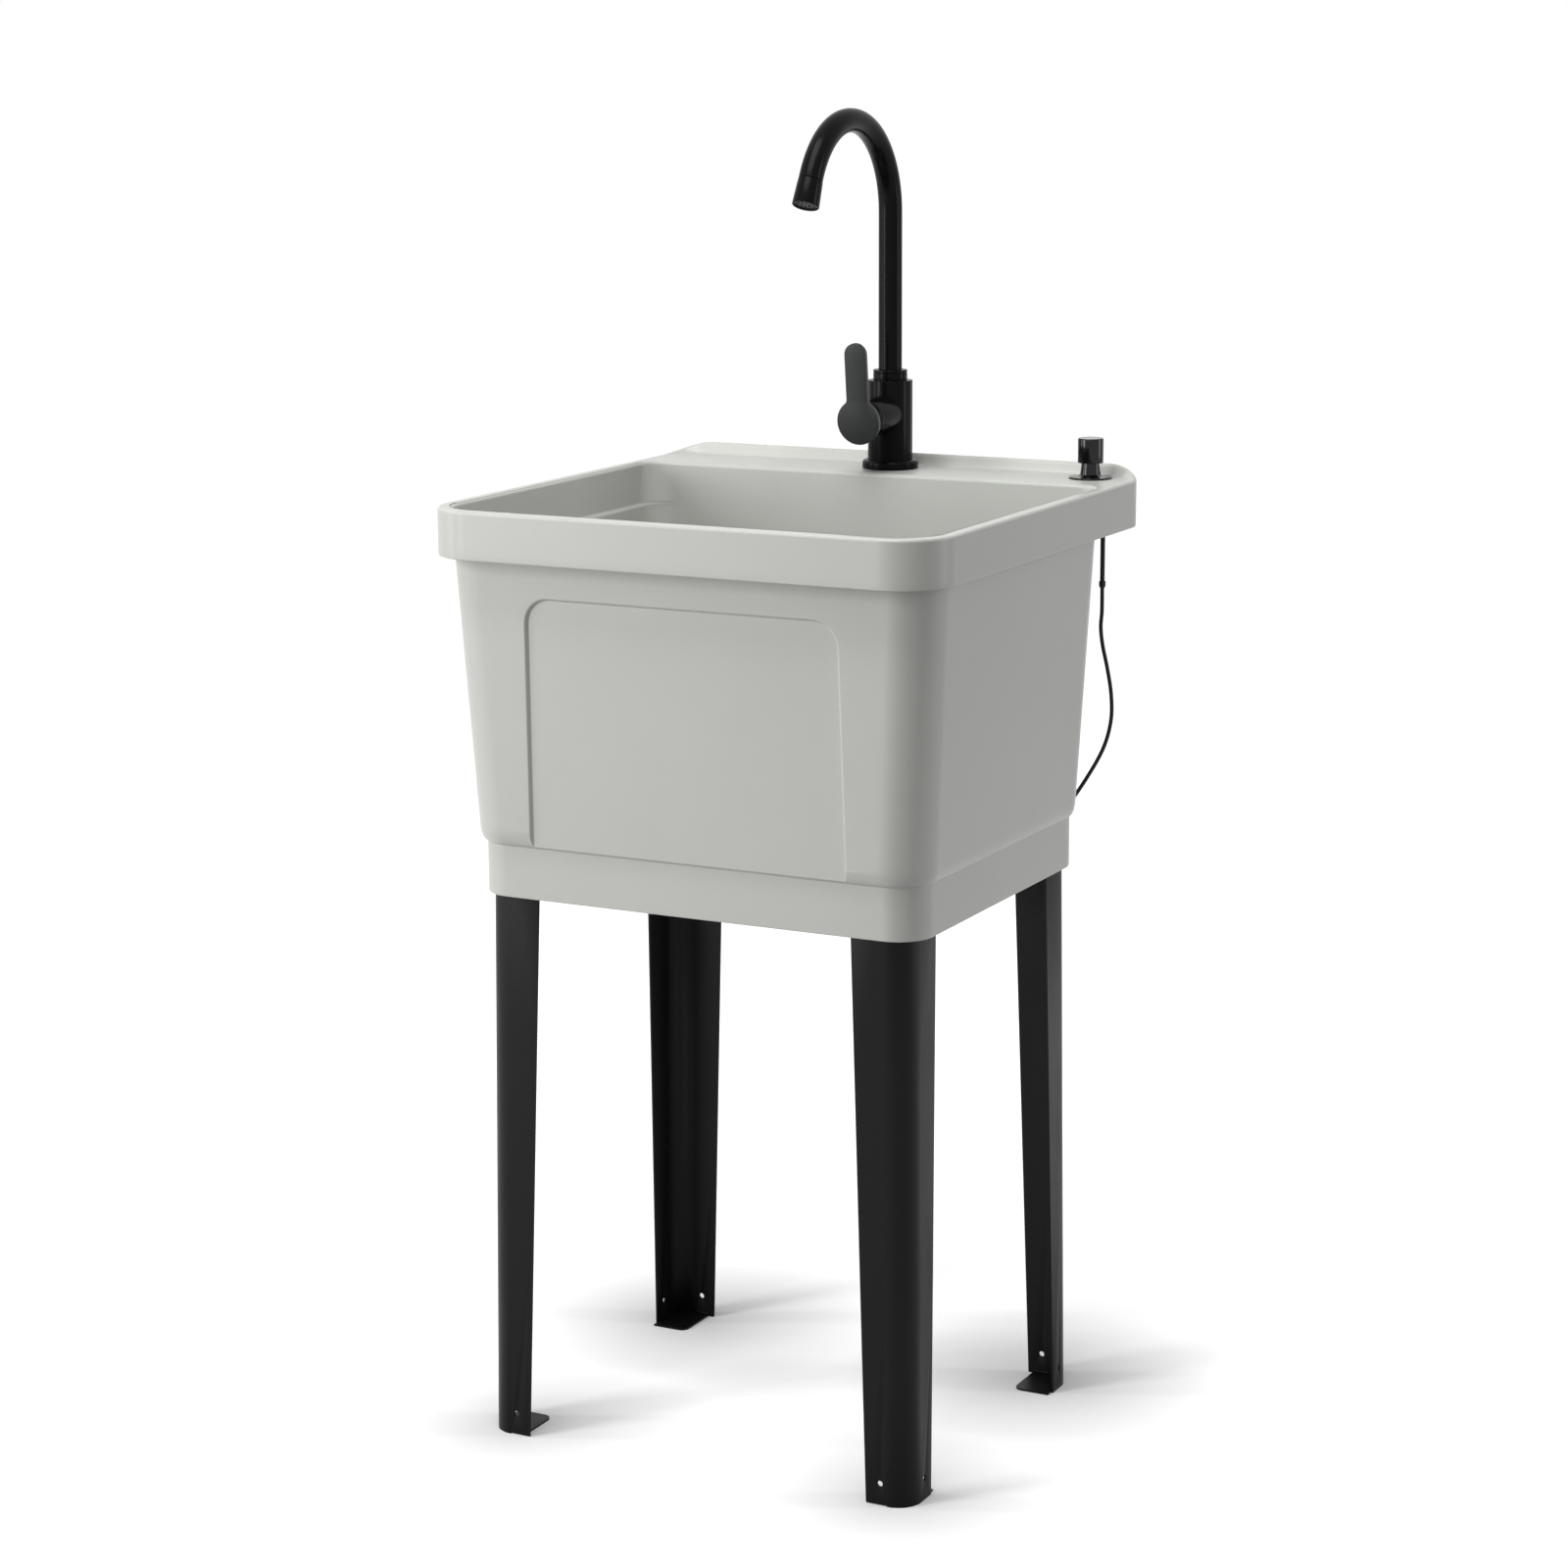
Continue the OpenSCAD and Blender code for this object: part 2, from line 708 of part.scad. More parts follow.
module tub() {
    color(tub_colour)
    difference() {
        union() {
            ring_loft([for (r = tub_rings) ring_points(r)]);
            leg_pad();
        }
        panel_cut();
        translate([0, tap_y, under_z - cut])
            cylinder(r = tap_hole_r, h = deck_t + 2 * cut, $fn = arc_n);
        translate([knob_x, knob_y, under_z - cut])
            cylinder(r = knob_shank_r + washer_gap, h = deck_t + 2 * cut, $fn = arc_n);
        translate([0, drain_y, ceil_z - cut])
            cylinder(d = drain_hole_d, h = floor_t + 2 * cut, $fn = arc_n);
        translate([0, drain_y, drain_z - flange_seat])
            cylinder(r = drain_flange_d / 2 + washer_gap, h = floor_fall + cut, $fn = arc_n);
    }
}

module at_tap() {
    translate([0, tap_y, rim_z]) children();
}
// Turns a piece drawn upwards along Z so that it points forwards from the tap
module forwards(s) {
    translate([0, -s, handle_z]) rotate([90, 0, 0]) children();
}
module tap_body() {
    color(black)
    at_tap() difference() {
        union() {
            translate([0, 0, tap_seal_t])
                cylinder(r = tap_r, h = tap_h - tap_seal_t, $fn = arc_n);
            forwards(0) cylinder(r = branch_r, h = bonnet_s, $fn = arc_n);
        }
        translate([0, 0, socket_z]) cylinder(r = socket_r, h = tap_h, $fn = arc_n);
        forwards(cartridge_s)
            cylinder(r = cartridge_r + thread_gap, h = handle_reach, $fn = arc_n);
        translate([0, 0, -cut])
            cylinder(r = shank_r + thread_gap, h = shank_in + tap_seal_t + cut, $fn = arc_n);
        for (x = [-inlet_x, inlet_x])
            translate([x, 0, 0])
                cylinder(r = inlet_r, h = shank_in + tap_seal_t + inlet_l, $fn = small_n);
    }
}
module tap_base_flange() {
    r0 = tap_r + thread_gap;
    r1 = tap_flange_d / 2;
    color(black)
    at_tap() rotate_extrude($fn = arc_n) polygon(concat(
        [[r0, 0], [r1 - flange_edge, 0]],
        [for (i = [-2:3]) let (a = 90 * i / 3)
            [r1 - flange_round + flange_round * cos(a),
             tap_flange_h / 2 - flange_edge + flange_round * sin(a)]],
        [[r0 + flange_edge, tap_flange_h], [r0, tap_flange_h]]
    ));
}
module tap_seal() {
    color(rubber) at_tap() ring(tap_r - washer_gap, shank_r + washer_gap, tap_seal_t);
}
module tap_shank() {
    color(brass)
    at_tap() translate([0, 0, -shank_l])
        ring(shank_r, shank_bore_r, shank_l + shank_in + tap_seal_t);
}
// Supply pipe through the shank, with a threaded end below it
module supply_inlet(side) {
    top = shank_in + tap_seal_t + inlet_l;
    low = -shank_l - inlet_below;
    color(brass)
    at_tap() translate([side * inlet_x, 0, 0]) difference() {
        union() {
            translate([0, 0, low])
                cylinder(r = inlet_r - thread_gap, h = top - low, $fn = small_n);
            translate([0, 0, low - inlet_end_l])
                cylinder(r = inlet_end_r, h = inlet_end_l, $fn = small_n);
        }
        translate([0, 0, low - inlet_end_l - cut])
            cylinder(r = inlet_r - inlet_wall, h = top - low + inlet_end_l + 2 * cut,
                $fn = small_n);
    }
}
module tap_rubber_washer() {
    color(rubber)
    at_tap() translate([0, 0, -deck_t - tap_rubber_t])
        ring(tap_washer_r, shank_r + washer_gap, tap_rubber_t);
}
module tap_metal_washer() {
    color(steel)
    at_tap() translate([0, 0, -deck_t - tap_rubber_t - tap_metal_t])
        ring(tap_washer_r, shank_r + washer_gap, tap_metal_t);
}
module tap_nut() {
    color(brass)
    at_tap() translate([0, 0, -deck_t - tap_rubber_t - tap_metal_t - tap_nut_h])
        hex_nut(tap_nut_r, shank_r + thread_gap, tap_nut_h);
}

// Places a piece at the end of the spout's bend, pointing along the tube
module at_spout_end() {
    at_tap() translate([0, -bend_r, bend_z])
        rotate([bend_sweep, 0, 0])
            translate([0, bend_r, 0]) children();
}
// Straight rise and bend of radius r; both ends run on by over
module spout_run(r, over) {
    more = over > 0 ? bend_over : 0;
    translate([0, 0, spout_end_z - over])
        cylinder(r = r, h = bend_z - spout_end_z + over, $fn = arc_n);
    translate([0, -bend_r, bend_z])
        rotate([90, 0, 90])
            rotate_extrude(angle = bend_sweep + more, $fn = arc_n)
                translate([bend_r, 0]) circle(r = r, $fn = arc_n);
}
module spout_tube() {
    r = spout_d / 2;
    color(black)
    at_tap() difference() {
        spout_run(r, 0);
        spout_run(r - spout_t, cut);
    }
}
module nozzle_sleeve() {
    r = spout_d / 2;
    color(black)
    at_spout_end() difference() {
        union() {
            translate([0, 0, nozzle_groove])
                cylinder(r1 = r + nozzle_groove / 2, r2 = nozzle_d / 2,
                    h = nozzle_l - nozzle_groove, $fn = arc_n);
            cylinder(r = r - nozzle_groove, h = nozzle_l / 2, $fn = arc_n);
            translate([0, 0, -nozzle_spigot_l])
                cylinder(r = r - spout_t - washer_gap, h = nozzle_l / 2, $fn = arc_n);
        }
        translate([0, 0, -nozzle_spigot_l - cut])
            cylinder(r = r - spout_t - nozzle_wall, h = nozzle_l * 2, $fn = arc_n);
        translate([0, 0, nozzle_l - aerator_t])
            cylinder(r = nozzle_d / 2 - nozzle_wall, h = nozzle_l, $fn = arc_n);
    }
}
module aerator() {
    color(steel)
    at_spout_end() translate([0, 0, nozzle_l - aerator_t]) difference() {
        cylinder(r = nozzle_d / 2 - nozzle_wall - thread_gap, h = aerator_t - aerator_in,
            $fn = arc_n);
        for (k = [1, 2]) for (i = [1:hex_n * k])
            rotate([0, 0, 360 * i / (hex_n * k)])
                translate([aerator_pitch * k, 0, -cut])
                    cylinder(r = aerator_hole_r, h = aerator_t + 2 * cut, $fn = aerator_hole_n);
    }
}
module spout_collar() {
    r0 = spout_d / 2 + run_gap;
    r1 = collar_d / 2;
    color(black)
    at_tap() translate([0, 0, tap_h]) rotate_extrude($fn = arc_n) polygon([
        [r0, 0], [r1 - run_gap, 0], [r1 - run_gap, collar_h * collar_groove_shares[0]],
        [r1, collar_h * collar_groove_shares[1]],
        [r1, collar_h - lever_edge], [r1 - lever_edge, collar_h], [r0, collar_h]
    ]);
}
module spout_bush() {
    color(nylon)
    at_tap() translate([0, 0, tap_h - bush_l])
        ring(socket_r - thread_gap, spout_d / 2 + run_gap, bush_l);
}
module spout_clip() {
    color(steel)
    at_tap() translate([0, 0, tap_h - bush_l - clip_gap - clip_t])
        ring(clip_r, spout_d / 2, clip_t);
}
module spout_o_rings() {
    color(rubber)
    at_tap() for (s = o_ring_z_shares)
        translate([0, 0, socket_z + (tap_h - socket_z) * s])
            rotate_extrude($fn = arc_n)
                translate([spout_d / 2 + run_gap + o_ring_r, 0])
                    circle(r = o_ring_r, $fn = small_n);
}

module cartridge() {
    color(white_plastic)
    at_tap() difference() {
        union() {
            forwards(cartridge_s)
                cylinder(r = cartridge_r, h = bonnet_s - cartridge_s, $fn = arc_n);
            forwards(bonnet_s - cut)
                cylinder(r = cartridge_nose_r, h = cartridge_nose_s - bonnet_s + cut, $fn = arc_n);
        }
        forwards(pivot_s) {
            sphere(r = ball_r + ball_gap, $fn = arc_n);
            cylinder(r = ball_r + ball_gap, h = handle_reach, $fn = arc_n);
        }
    }
}
module handle_bonnet() {
    color(black)
    at_tap() difference() {
        intersection() {
            forwards(bonnet_s) cylinder(r = branch_r, h = handle_reach, $fn = arc_n);
            forwards(pivot_s) sphere(r = dome_r, $fn = arc_n);
        }
        forwards(bonnet_s - cut)
            cylinder(r = bonnet_bore_r, h = turret_s1 - bonnet_s + cut + boss_gap, $fn = arc_n);
        forwards(bonnet_s) cylinder(r = dome_hole_r, h = handle_reach, $fn = arc_n);
    }
}
module cartridge_turret() {
    half = stem_r + run_gap;
    color(brass)
    at_tap() difference() {
        forwards(turret_s0) cylinder(r = turret_r, h = turret_s1 - turret_s0, $fn = arc_n);
        translate([-half, -turret_s1 - cut, handle_z - turret_slot_half])
            cube([2 * half, turret_s1 - turret_s0 + 2 * cut, 2 * turret_slot_half]);
    }
}
handle_s = handle_reach - lever_t;
// Leans the handle's pieces forwards about the ball in the cartridge
module leaning() {
    translate([0, -pivot_s, handle_z])
        rotate([lever_lean, 0, 0])
            translate([0, pivot_s, -handle_z]) children();
}
module handle_stem() {
    color(steel)
    at_tap() leaning() {
        forwards(pivot_s) rotate_extrude($fn = arc_n) polygon(concat(
            ball_arc(ball_r, stem_r, 0),
            [[stem_r, handle_reach - stem_back - pivot_s],
             [0, handle_reach - stem_back - pivot_s]]
        ));
    }
}
// Outline of the handle: round hub, straight lever with a round end, blended corners
module handle_outline() {
    hub_r = hub_d / 2;
    w = lever_w / 2;
    f = lever_fillet_r;
    fz = sqrt(pow(hub_r + f, 2) - pow(w + f, 2));
    circle(r = hub_r, $fn = arc_n);
    translate([-w, 0]) square([lever_w, lever_l - w]);
    translate([0, lever_l - w]) circle(r = w, $fn = arc_n);
    for (m = [0, 1]) mirror([m, 0]) difference() {
        polygon([[0, fz], [w + f, fz], [(w + f) * hub_r / (hub_r + f), fz * hub_r / (hub_r + f)],
                 [0, 0]]);
        translate([w + f, fz]) circle(r = f, $fn = small_n);
    }
}
module handle_lever() {
    color(black)
    at_tap() leaning() difference() {
        union() {
            difference() {
                forwards(handle_s) linear_extrude(lever_t) handle_outline();
                forwards(handle_s - cut)
                    cylinder(r = dish_r, h = dish_depth + cut, $fn = arc_n);
            }
            forwards(handle_s + dish_depth - boss_l)
                cylinder(r = boss_r, h = boss_l + lever_t / 4, $fn = arc_n);
        }
        forwards(handle_s - cut)
            cylinder(r = stem_r + run_gap, h = lever_t - stem_back + run_gap + cut, $fn = small_n);
        translate([0, set_screw_back - handle_reach, handle_z - hub_d])
            cylinder(r = set_screw_r + thread_gap, h = hub_d, $fn = small_n);
    }
}
module handle_set_screw() {
    color(steel)
    at_tap() leaning()
        translate([0, set_screw_back - handle_reach, handle_z - stem_r - run_gap - set_screw_l])
            cylinder(r = set_screw_r, h = set_screw_l, $fn = small_n);
}

module at_knob() {
    translate([knob_x, knob_y, rim_z]) children();
}
module knob_rosette() {
    r1 = rosette_d / 2;
    r0 = knob_shank_r + washer_gap;
    r2 = knob_gasket_r + washer_gap;
    color(dark_chrome)
    at_knob() rotate_extrude($fn = arc_n) polygon([
        [r0, knob_gasket_t], [r2, knob_gasket_t], [r2, 0], [r1 - rosette_edge_h / 3, 0],
        [r1, rosette_edge_h / 3], [r1, rosette_edge_h * rosette_edge_share],
        [r1 - rosette_edge_h / 2, rosette_edge_h],
        [r1 * rosette_slope_shares[0], rosette_edge_h * rosette_slope_shares[1]],
        [neck_r_low + rosette_edge_h, neck_h_low * rosette_neck_share],
        [neck_r_low, neck_h_low], [r0, neck_h_low]
    ]);
}
module knob_gasket() {
    color(rubber) at_knob() ring(knob_gasket_r, knob_shank_r + washer_gap, knob_gasket_t);
}
module knob_neck() {
    top = knob_foot - neck_top_gap;
    color(dark_chrome)
    at_knob() difference() {
        union() {
            translate([0, 0, neck_h_low])
                cylinder(r1 = neck_r_low, r2 = neck_r_top, h = top - neck_h_low, $fn = arc_n);
            translate([0, 0, -knob_shank_l])
                cylinder(r = knob_shank_r, h = knob_shank_l + neck_h_low, $fn = arc_n);
        }
        translate([0, 0, -knob_shank_l - cut])
            cylinder(r = spindle_r + run_gap, h = knob_shank_l + top + 2 * cut, $fn = arc_n);
    }
}
module knob_cap() {
    r = knob_d / 2;
    color(dark_chrome)
    at_knob() difference() {
        rotate_extrude($fn = arc_n) polygon([
            [0, knob_foot], [r - knob_edge, knob_foot], [r, knob_foot + knob_edge],
            [r, knob_top - knob_edge], [r - knob_edge, knob_top], [0, knob_top]
        ]);
        translate([0, 0, knob_foot - cut])
            cylinder(r = spindle_r + thread_gap, h = spindle_in + cut, $fn = arc_n);
    }
}
module knob_spindle() {
    low = -housing_top - spindle_deep;
    color(steel)
    at_knob() translate([0, 0, low])
        cylinder(r = spindle_r, h = knob_foot + spindle_in - low, $fn = arc_n);
}
module knob_washer() {
    color(rubber)
    at_knob() translate([0, 0, -deck_t - knob_washer_t])
        ring(knob_washer_r, knob_shank_r + washer_gap, knob_washer_t);
}
module knob_nut() {
    color(steel)
    at_knob() translate([0, 0, -deck_t - knob_washer_t - knob_nut_h])
        hex_nut(knob_nut_r, knob_shank_r + thread_gap, knob_nut_h);
}
// Housing under the deck that turns the knob's rotation into a pull on the cable
module cable_housing() {
    deep = knob_shank_l - housing_top;
    color(black)
    at_knob() translate([0, 0, -housing_top - housing_h]) difference() {
        hull() {
            cylinder(r = housing_r, h = housing_h, $fn = small_n);
            translate([cable_offset, 0, 0])
                cylinder(r = housing_tip_r, h = housing_h, $fn = small_n);
        }
        translate([0, 0, housing_h - deep])
            cylinder(r = knob_shank_r + thread_gap, h = deep + cut, $fn = arc_n);
        translate([0, 0, housing_h - spindle_deep - clip_gap])
            cylinder(r = spindle_r + run_gap, h = spindle_deep + cut, $fn = arc_n);
        translate([cable_offset, 0, -cut])
            cylinder(r = guide_r + thread_gap, h = guide_in + cut, $fn = small_n);
    }
}
module at_guide() {
    translate([cable_x, knob_y, guide_z]) children();
}
module cable_guide_tube() {
    color(black)
    at_guide() translate([0, 0, -guide_l])
        ring(guide_r, wire_r + run_gap, guide_l + guide_in);
}
module cable_ferrule_upper() {
    color(black)
    at_guide() translate([0, 0, -guide_l - ferrule_l + ferrule_lap]) difference() {
        union() {
            cylinder(r1 = cable_d / 2, r2 = ferrule_r, h = ferrule_cone_l, $fn = small_n);
            translate([0, 0, ferrule_cone_l])
                cylinder(r = ferrule_r, h = ferrule_l - ferrule_cone_l, $fn = small_n);
        }
        translate([0, 0, ferrule_l - ferrule_lap])
            cylinder(r = guide_r + thread_gap, h = ferrule_l, $fn = small_n);
    }
}

// Points along a smooth curve through the route
function curve_point(p, i, t) =
    let (a = p[max(i - 1, 0)], b = p[i], c = p[i + 1], d = p[min(i + 2, len(p) - 1)])
    (2 * b + (c - a) * t + (2 * a - 5 * b + 4 * c - d) * t * t
     + (3 * b - a - 3 * c + d) * t * t * t) / 2;
function curve(p, n) = concat(
    [for (i = [0:len(p) - 2]) for (j = [0:n - 1]) curve_point(p, i, j / n)],
    [p[len(p) - 1]]
);
function unit(v) = v / norm(v);
function tangent(p, i) = unit(p[min(i + 1, len(p) - 1)] - p[max(i - 1, 0)]);
function cable_ring(p, t) =
    let (u = unit(cross(t, cable_side_dir)), v = cross(u, t))
    [for (k = [0:cable_sides - 1]) let (a = 360 * k / cable_sides)
        p + (u * cos(a) + v * sin(a)) * cable_d / 2];
function with_ends(p, top, low) =
    concat([[p[0][0], p[0][1], top]], [for (i = [1:len(p) - 2]) p[i]],
           [[p[len(p) - 1][0], p[len(p) - 1][1], low]]);
module drain_cable() {
    run = with_ends(cable_route, cable_top_z, low_ferrule_z);
    pts = curve(run, cable_steps);
    n = len(pts);
    color(black)
    ring_loft([for (i = [0:n - 1])
        cable_ring(pts[i], i == 0 ? [0, 0, -1] : i == n - 1 ? [0, 0, 1] : tangent(pts, i))]);
}

module at_drain() {
    translate([0, drain_y, drain_z]) children();
}
module drain_flange() {
    r = drain_flange_d / 2;
    z0 = drain_seal_t - flange_seat;
    color(steel)
    at_drain() rotate_extrude($fn = arc_n) polygon([
        [thread_r, z0], [r, z0], [r, 0], [r - rim_bead / 2, rim_bead / 2],
        [r - rim_bead * 2, rim_bead / 2], [throat_r + rim_bead, 0], [throat_r, -rim_bead],
        [throat_r, -flange_tube_l], [thread_r, -flange_tube_l]
    ]);
}
module drain_seal() {
    color(rubber)
    at_drain() translate([0, 0, -flange_seat])
        ring(drain_flange_d / 2 - drain_seal_in, drain_hole_d / 2 + drain_seal_in, drain_seal_t);
}
module drain_rubber_washer() {
    color(rubber)
    at_drain() translate([0, 0, -floor_t - drain_rubber_t])
        ring(drain_washer_r, thread_r + washer_gap, drain_rubber_t);
}
module drain_slip_washer() {
    color(white_plastic)
    at_drain() translate([0, 0, -floor_t - drain_rubber_t - drain_slip_t])
        ring(drain_washer_r - drain_seal_in, thread_r + washer_gap, drain_slip_t);
}
module drain_nut() {
    color(white_plastic)
    at_drain() translate([0, 0, -floor_t - drain_rubber_t - drain_slip_t - drain_nut_h])
        hex_nut(drain_nut_r, thread_r + thread_gap, drain_nut_h);
}
tail_r = tail_d / 2;
collar_z = -flange_tube_l - tail_gasket_t;
module tailpiece_gasket() {
    color(rubber)
    at_drain() translate([0, 0, collar_z])
        ring(thread_r, throat_r, tail_gasket_t);
}
module drain_tailpiece() {
    low = tail_z - drain_z;
    color(white_plastic)
    at_drain() difference() {
        union() {
            translate([0, 0, low]) cylinder(r = tail_r, h = tail_spigot_l, $fn = arc_n);
            translate([0, 0, low])
                cylinder(r = tail_r - tail_neck_in, h = collar_z - low, $fn = arc_n);
            translate([0, 0, collar_z - tail_collar_t])
                cylinder(r = tail_collar_r, h = tail_collar_t, $fn = arc_n);
            translate([0, 0, collar_z])
                cylinder(r = throat_r - thread_gap, h = tail_top_in + tail_gasket_t, $fn = arc_n);
            translate([0, 0, port_z - drain_z]) rotate([0, 90, 0])
                cylinder(r = port_r, h = port_l, $fn = arc_n);
        }
        translate([0, 0, low - cut])
            cylinder(r = tail_r - tail_wall, h = tail_top_in + collar_z - low + 3 * cut, $fn = arc_n);
        translate([0, 0, port_z - drain_z]) rotate([0, 90, 0])
            cylinder(r = pivot_bore_r, h = port_l + cut, $fn = arc_n);
    }
}
module plug() {
    r = throat_r - plug_gap;
    eye_z = port_z - drain_z - plug_lift / 2;
    color(steel)
    at_drain() difference() {
        union() {
            translate([0, 0, -plug_head_h + plug_gap]) difference() {
                cylinder(r = r, h = plug_head_h, $fn = arc_n);
                rotate_extrude($fn = arc_n)
                    translate([r - plug_seal_in, plug_head_h - plug_seal_z])
                        circle(r = plug_seal_r, $fn = small_n);
            }
            translate([0, 0, eye_z]) cylinder(r = plug_stem_r, h = -eye_z - cut, $fn = small_n);
            translate([-paddle_t / 2, -paddle_w / 2, eye_z - paddle_h / 4])
                cube([paddle_t, paddle_w, paddle_h]);
        }
        translate([-paddle_t, 0, eye_z]) rotate([0, 90, 0])
            cylinder(r = eye_r, h = 2 * paddle_t, $fn = arc_n);
    }
}
module plug_seal() {
    color(rubber)
    at_drain() translate([0, 0, plug_gap - plug_seal_z])
        rotate_extrude($fn = arc_n)
            translate([throat_r - plug_gap - plug_seal_in, 0])
                circle(r = plug_seal_r - thread_gap, $fn = small_n);
}
// Profile of a ball of radius r that ends where a stem of radius s leaves it. With side -1 it
// begins at a stem of the same radius, and with side 0 at the far end of the ball
function ball_arc(r, s, side) =
    let (a1 = acos(s / r), a0 = side < 0 ? -a1 : -90)
    [for (i = [0:ball_n]) let (a = a0 + (a1 - a0) * i / ball_n) [r * cos(a), r * sin(a)]];
module at_pivot() {
    translate([pivot_x, drain_y, port_z]) children();
}
module pivot_rod() {
    color(steel)
    at_pivot() rotate([0, 90 - rod_angle, 0]) rotate_extrude($fn = arc_n) polygon(concat(
        [[0, -rod_inner], [rod_r, -rod_inner]],
        ball_arc(pivot_r, rod_r, -1),
        [[rod_r, rod_outer], [0, rod_outer]]
    ));
}
module pivot_nut() {
    end = port_l - pivot_x;
    color(white_plastic)
    at_pivot() difference() {
        translate([end - port_nut_l + bracket_t, 0, 0]) rotate([0, 90, 0])
            cylinder(r = port_nut_r, h = port_nut_l, $fn = hex_n);
        translate([-pivot_x, 0, 0]) rotate([0, 90, 0])
            cylinder(r = port_r + thread_gap, h = port_l, $fn = arc_n);
        rotate([0, 90, 0]) cylinder(r = port_nut_hole_r, h = port_l, $fn = arc_n);
    }
}
// Clip round the tailpiece that holds the end of the cable's outer casing
module cable_bracket() {
    r1 = tail_r + bracket_t;
    color(steel)
    translate([0, drain_y, bracket_z0]) difference() {
        union() {
            cylinder(r = r1, h = bracket_h, $fn = arc_n);
            translate([0, -bracket_h / 2, 0]) cube([wire_x, bracket_h, bracket_t]);
            translate([wire_x, 0, 0])
                cylinder(r = ferrule_r + bracket_t, h = bracket_t, $fn = arc_n);
        }
        translate([0, 0, -cut])
            cylinder(r = tail_r - tail_neck_in + bracket_gap, h = bracket_h + 2 * cut, $fn = arc_n);
        translate([wire_x, 0, -cut])
            cylinder(r = ferrule_r + bracket_gap, h = bracket_h + 2 * cut, $fn = arc_n);
    }
}
module cable_ferrule_lower() {
    color(black)
    translate([wire_x, drain_y, low_ferrule_z])
        ring(ferrule_r, wire_r + run_gap, low_ferrule_l);
}
// Clevis on the inner wire, hooked over the end of the pivot rod
module cable_clevis() {
    wire_low = low_ferrule_z + wire_travel + wire_stop;
    color(steel)
    translate([wire_x, drain_y, 0]) {
        difference() {
            translate([-clevis_w / 2, -clevis_w / 2, wire_z - clevis_h / 2])
                cube([clevis_w, clevis_w, clevis_h]);
            translate([-clevis_w, -clevis_slot_w / 2, wire_z - clevis_slot_h / 2])
                cube([2 * clevis_w, clevis_slot_w, clevis_slot_h]);
        }
        translate([0, 0, wire_low])
            cylinder(r = wire_r, h = wire_z - clevis_h / 2 + wire_r - wire_low, $fn = small_n);
    }
}

module hot_inlet() { supply_inlet(-1); }
module cold_inlet() { supply_inlet(1); }
module leg_front_left() { leg(-1, -1); }
module leg_front_right() { leg(1, -1); }
module leg_rear_left() { leg(-1, 1); }
module leg_rear_right() { leg(1, 1); }

tub();
leg_front_left();
leg_front_right();
leg_rear_left();
leg_rear_right();
leg_screws();
tap_body();
tap_base_flange();
tap_seal();
tap_shank();
hot_inlet();
cold_inlet();
tap_rubber_washer();
tap_metal_washer();
tap_nut();
spout_tube();
nozzle_sleeve();
aerator();
spout_collar();
spout_bush();
spout_o_rings();
spout_clip();
cartridge();
handle_bonnet();
cartridge_turret();
handle_stem();
handle_lever();
handle_set_screw();
knob_rosette();
knob_gasket();
knob_neck();
knob_cap();
knob_spindle();
knob_washer();
knob_nut();
cable_housing();
cable_guide_tube();
cable_ferrule_upper();
drain_cable();
drain_flange();
drain_seal();
drain_rubber_washer();
drain_slip_washer();
drain_nut();
drain_tailpiece();
tailpiece_gasket();
plug();
plug_seal();
pivot_rod();
pivot_nut();
cable_bracket();
cable_ferrule_lower();
cable_clevis();
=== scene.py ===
import json
import math

import bmesh
import bpy
from mathutils import Matrix, Vector


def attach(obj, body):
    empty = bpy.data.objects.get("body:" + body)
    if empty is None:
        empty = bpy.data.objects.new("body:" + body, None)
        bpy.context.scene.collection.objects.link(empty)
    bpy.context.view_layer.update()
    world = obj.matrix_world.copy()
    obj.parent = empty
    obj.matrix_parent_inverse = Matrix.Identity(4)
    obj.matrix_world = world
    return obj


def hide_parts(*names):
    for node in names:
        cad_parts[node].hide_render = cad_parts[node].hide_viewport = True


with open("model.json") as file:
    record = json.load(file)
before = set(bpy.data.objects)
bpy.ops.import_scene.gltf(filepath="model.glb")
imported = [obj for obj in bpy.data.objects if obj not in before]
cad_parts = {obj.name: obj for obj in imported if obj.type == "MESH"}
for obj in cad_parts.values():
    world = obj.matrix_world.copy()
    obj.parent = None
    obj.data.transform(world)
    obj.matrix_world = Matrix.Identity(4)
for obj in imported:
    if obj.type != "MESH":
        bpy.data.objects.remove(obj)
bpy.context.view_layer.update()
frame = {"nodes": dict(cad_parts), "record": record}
bpy.ops.object.select_all(action="DESELECT")

# Sizes and places are in mm, unless a comment says otherwise
MM = 0.001


# Camera, fitted to the corners of rim, tub, skirt and feet: metres and degrees

CAMERA_X, CAMERA_Y, CAMERA_Z = 1.5377, -3.0157, 1.3085
YAW, PITCH, ROLL = 27.183, 11.779, -0.266
LENS, FILM_WIDTH = 85.15, 36
FAR_LIMIT = 100


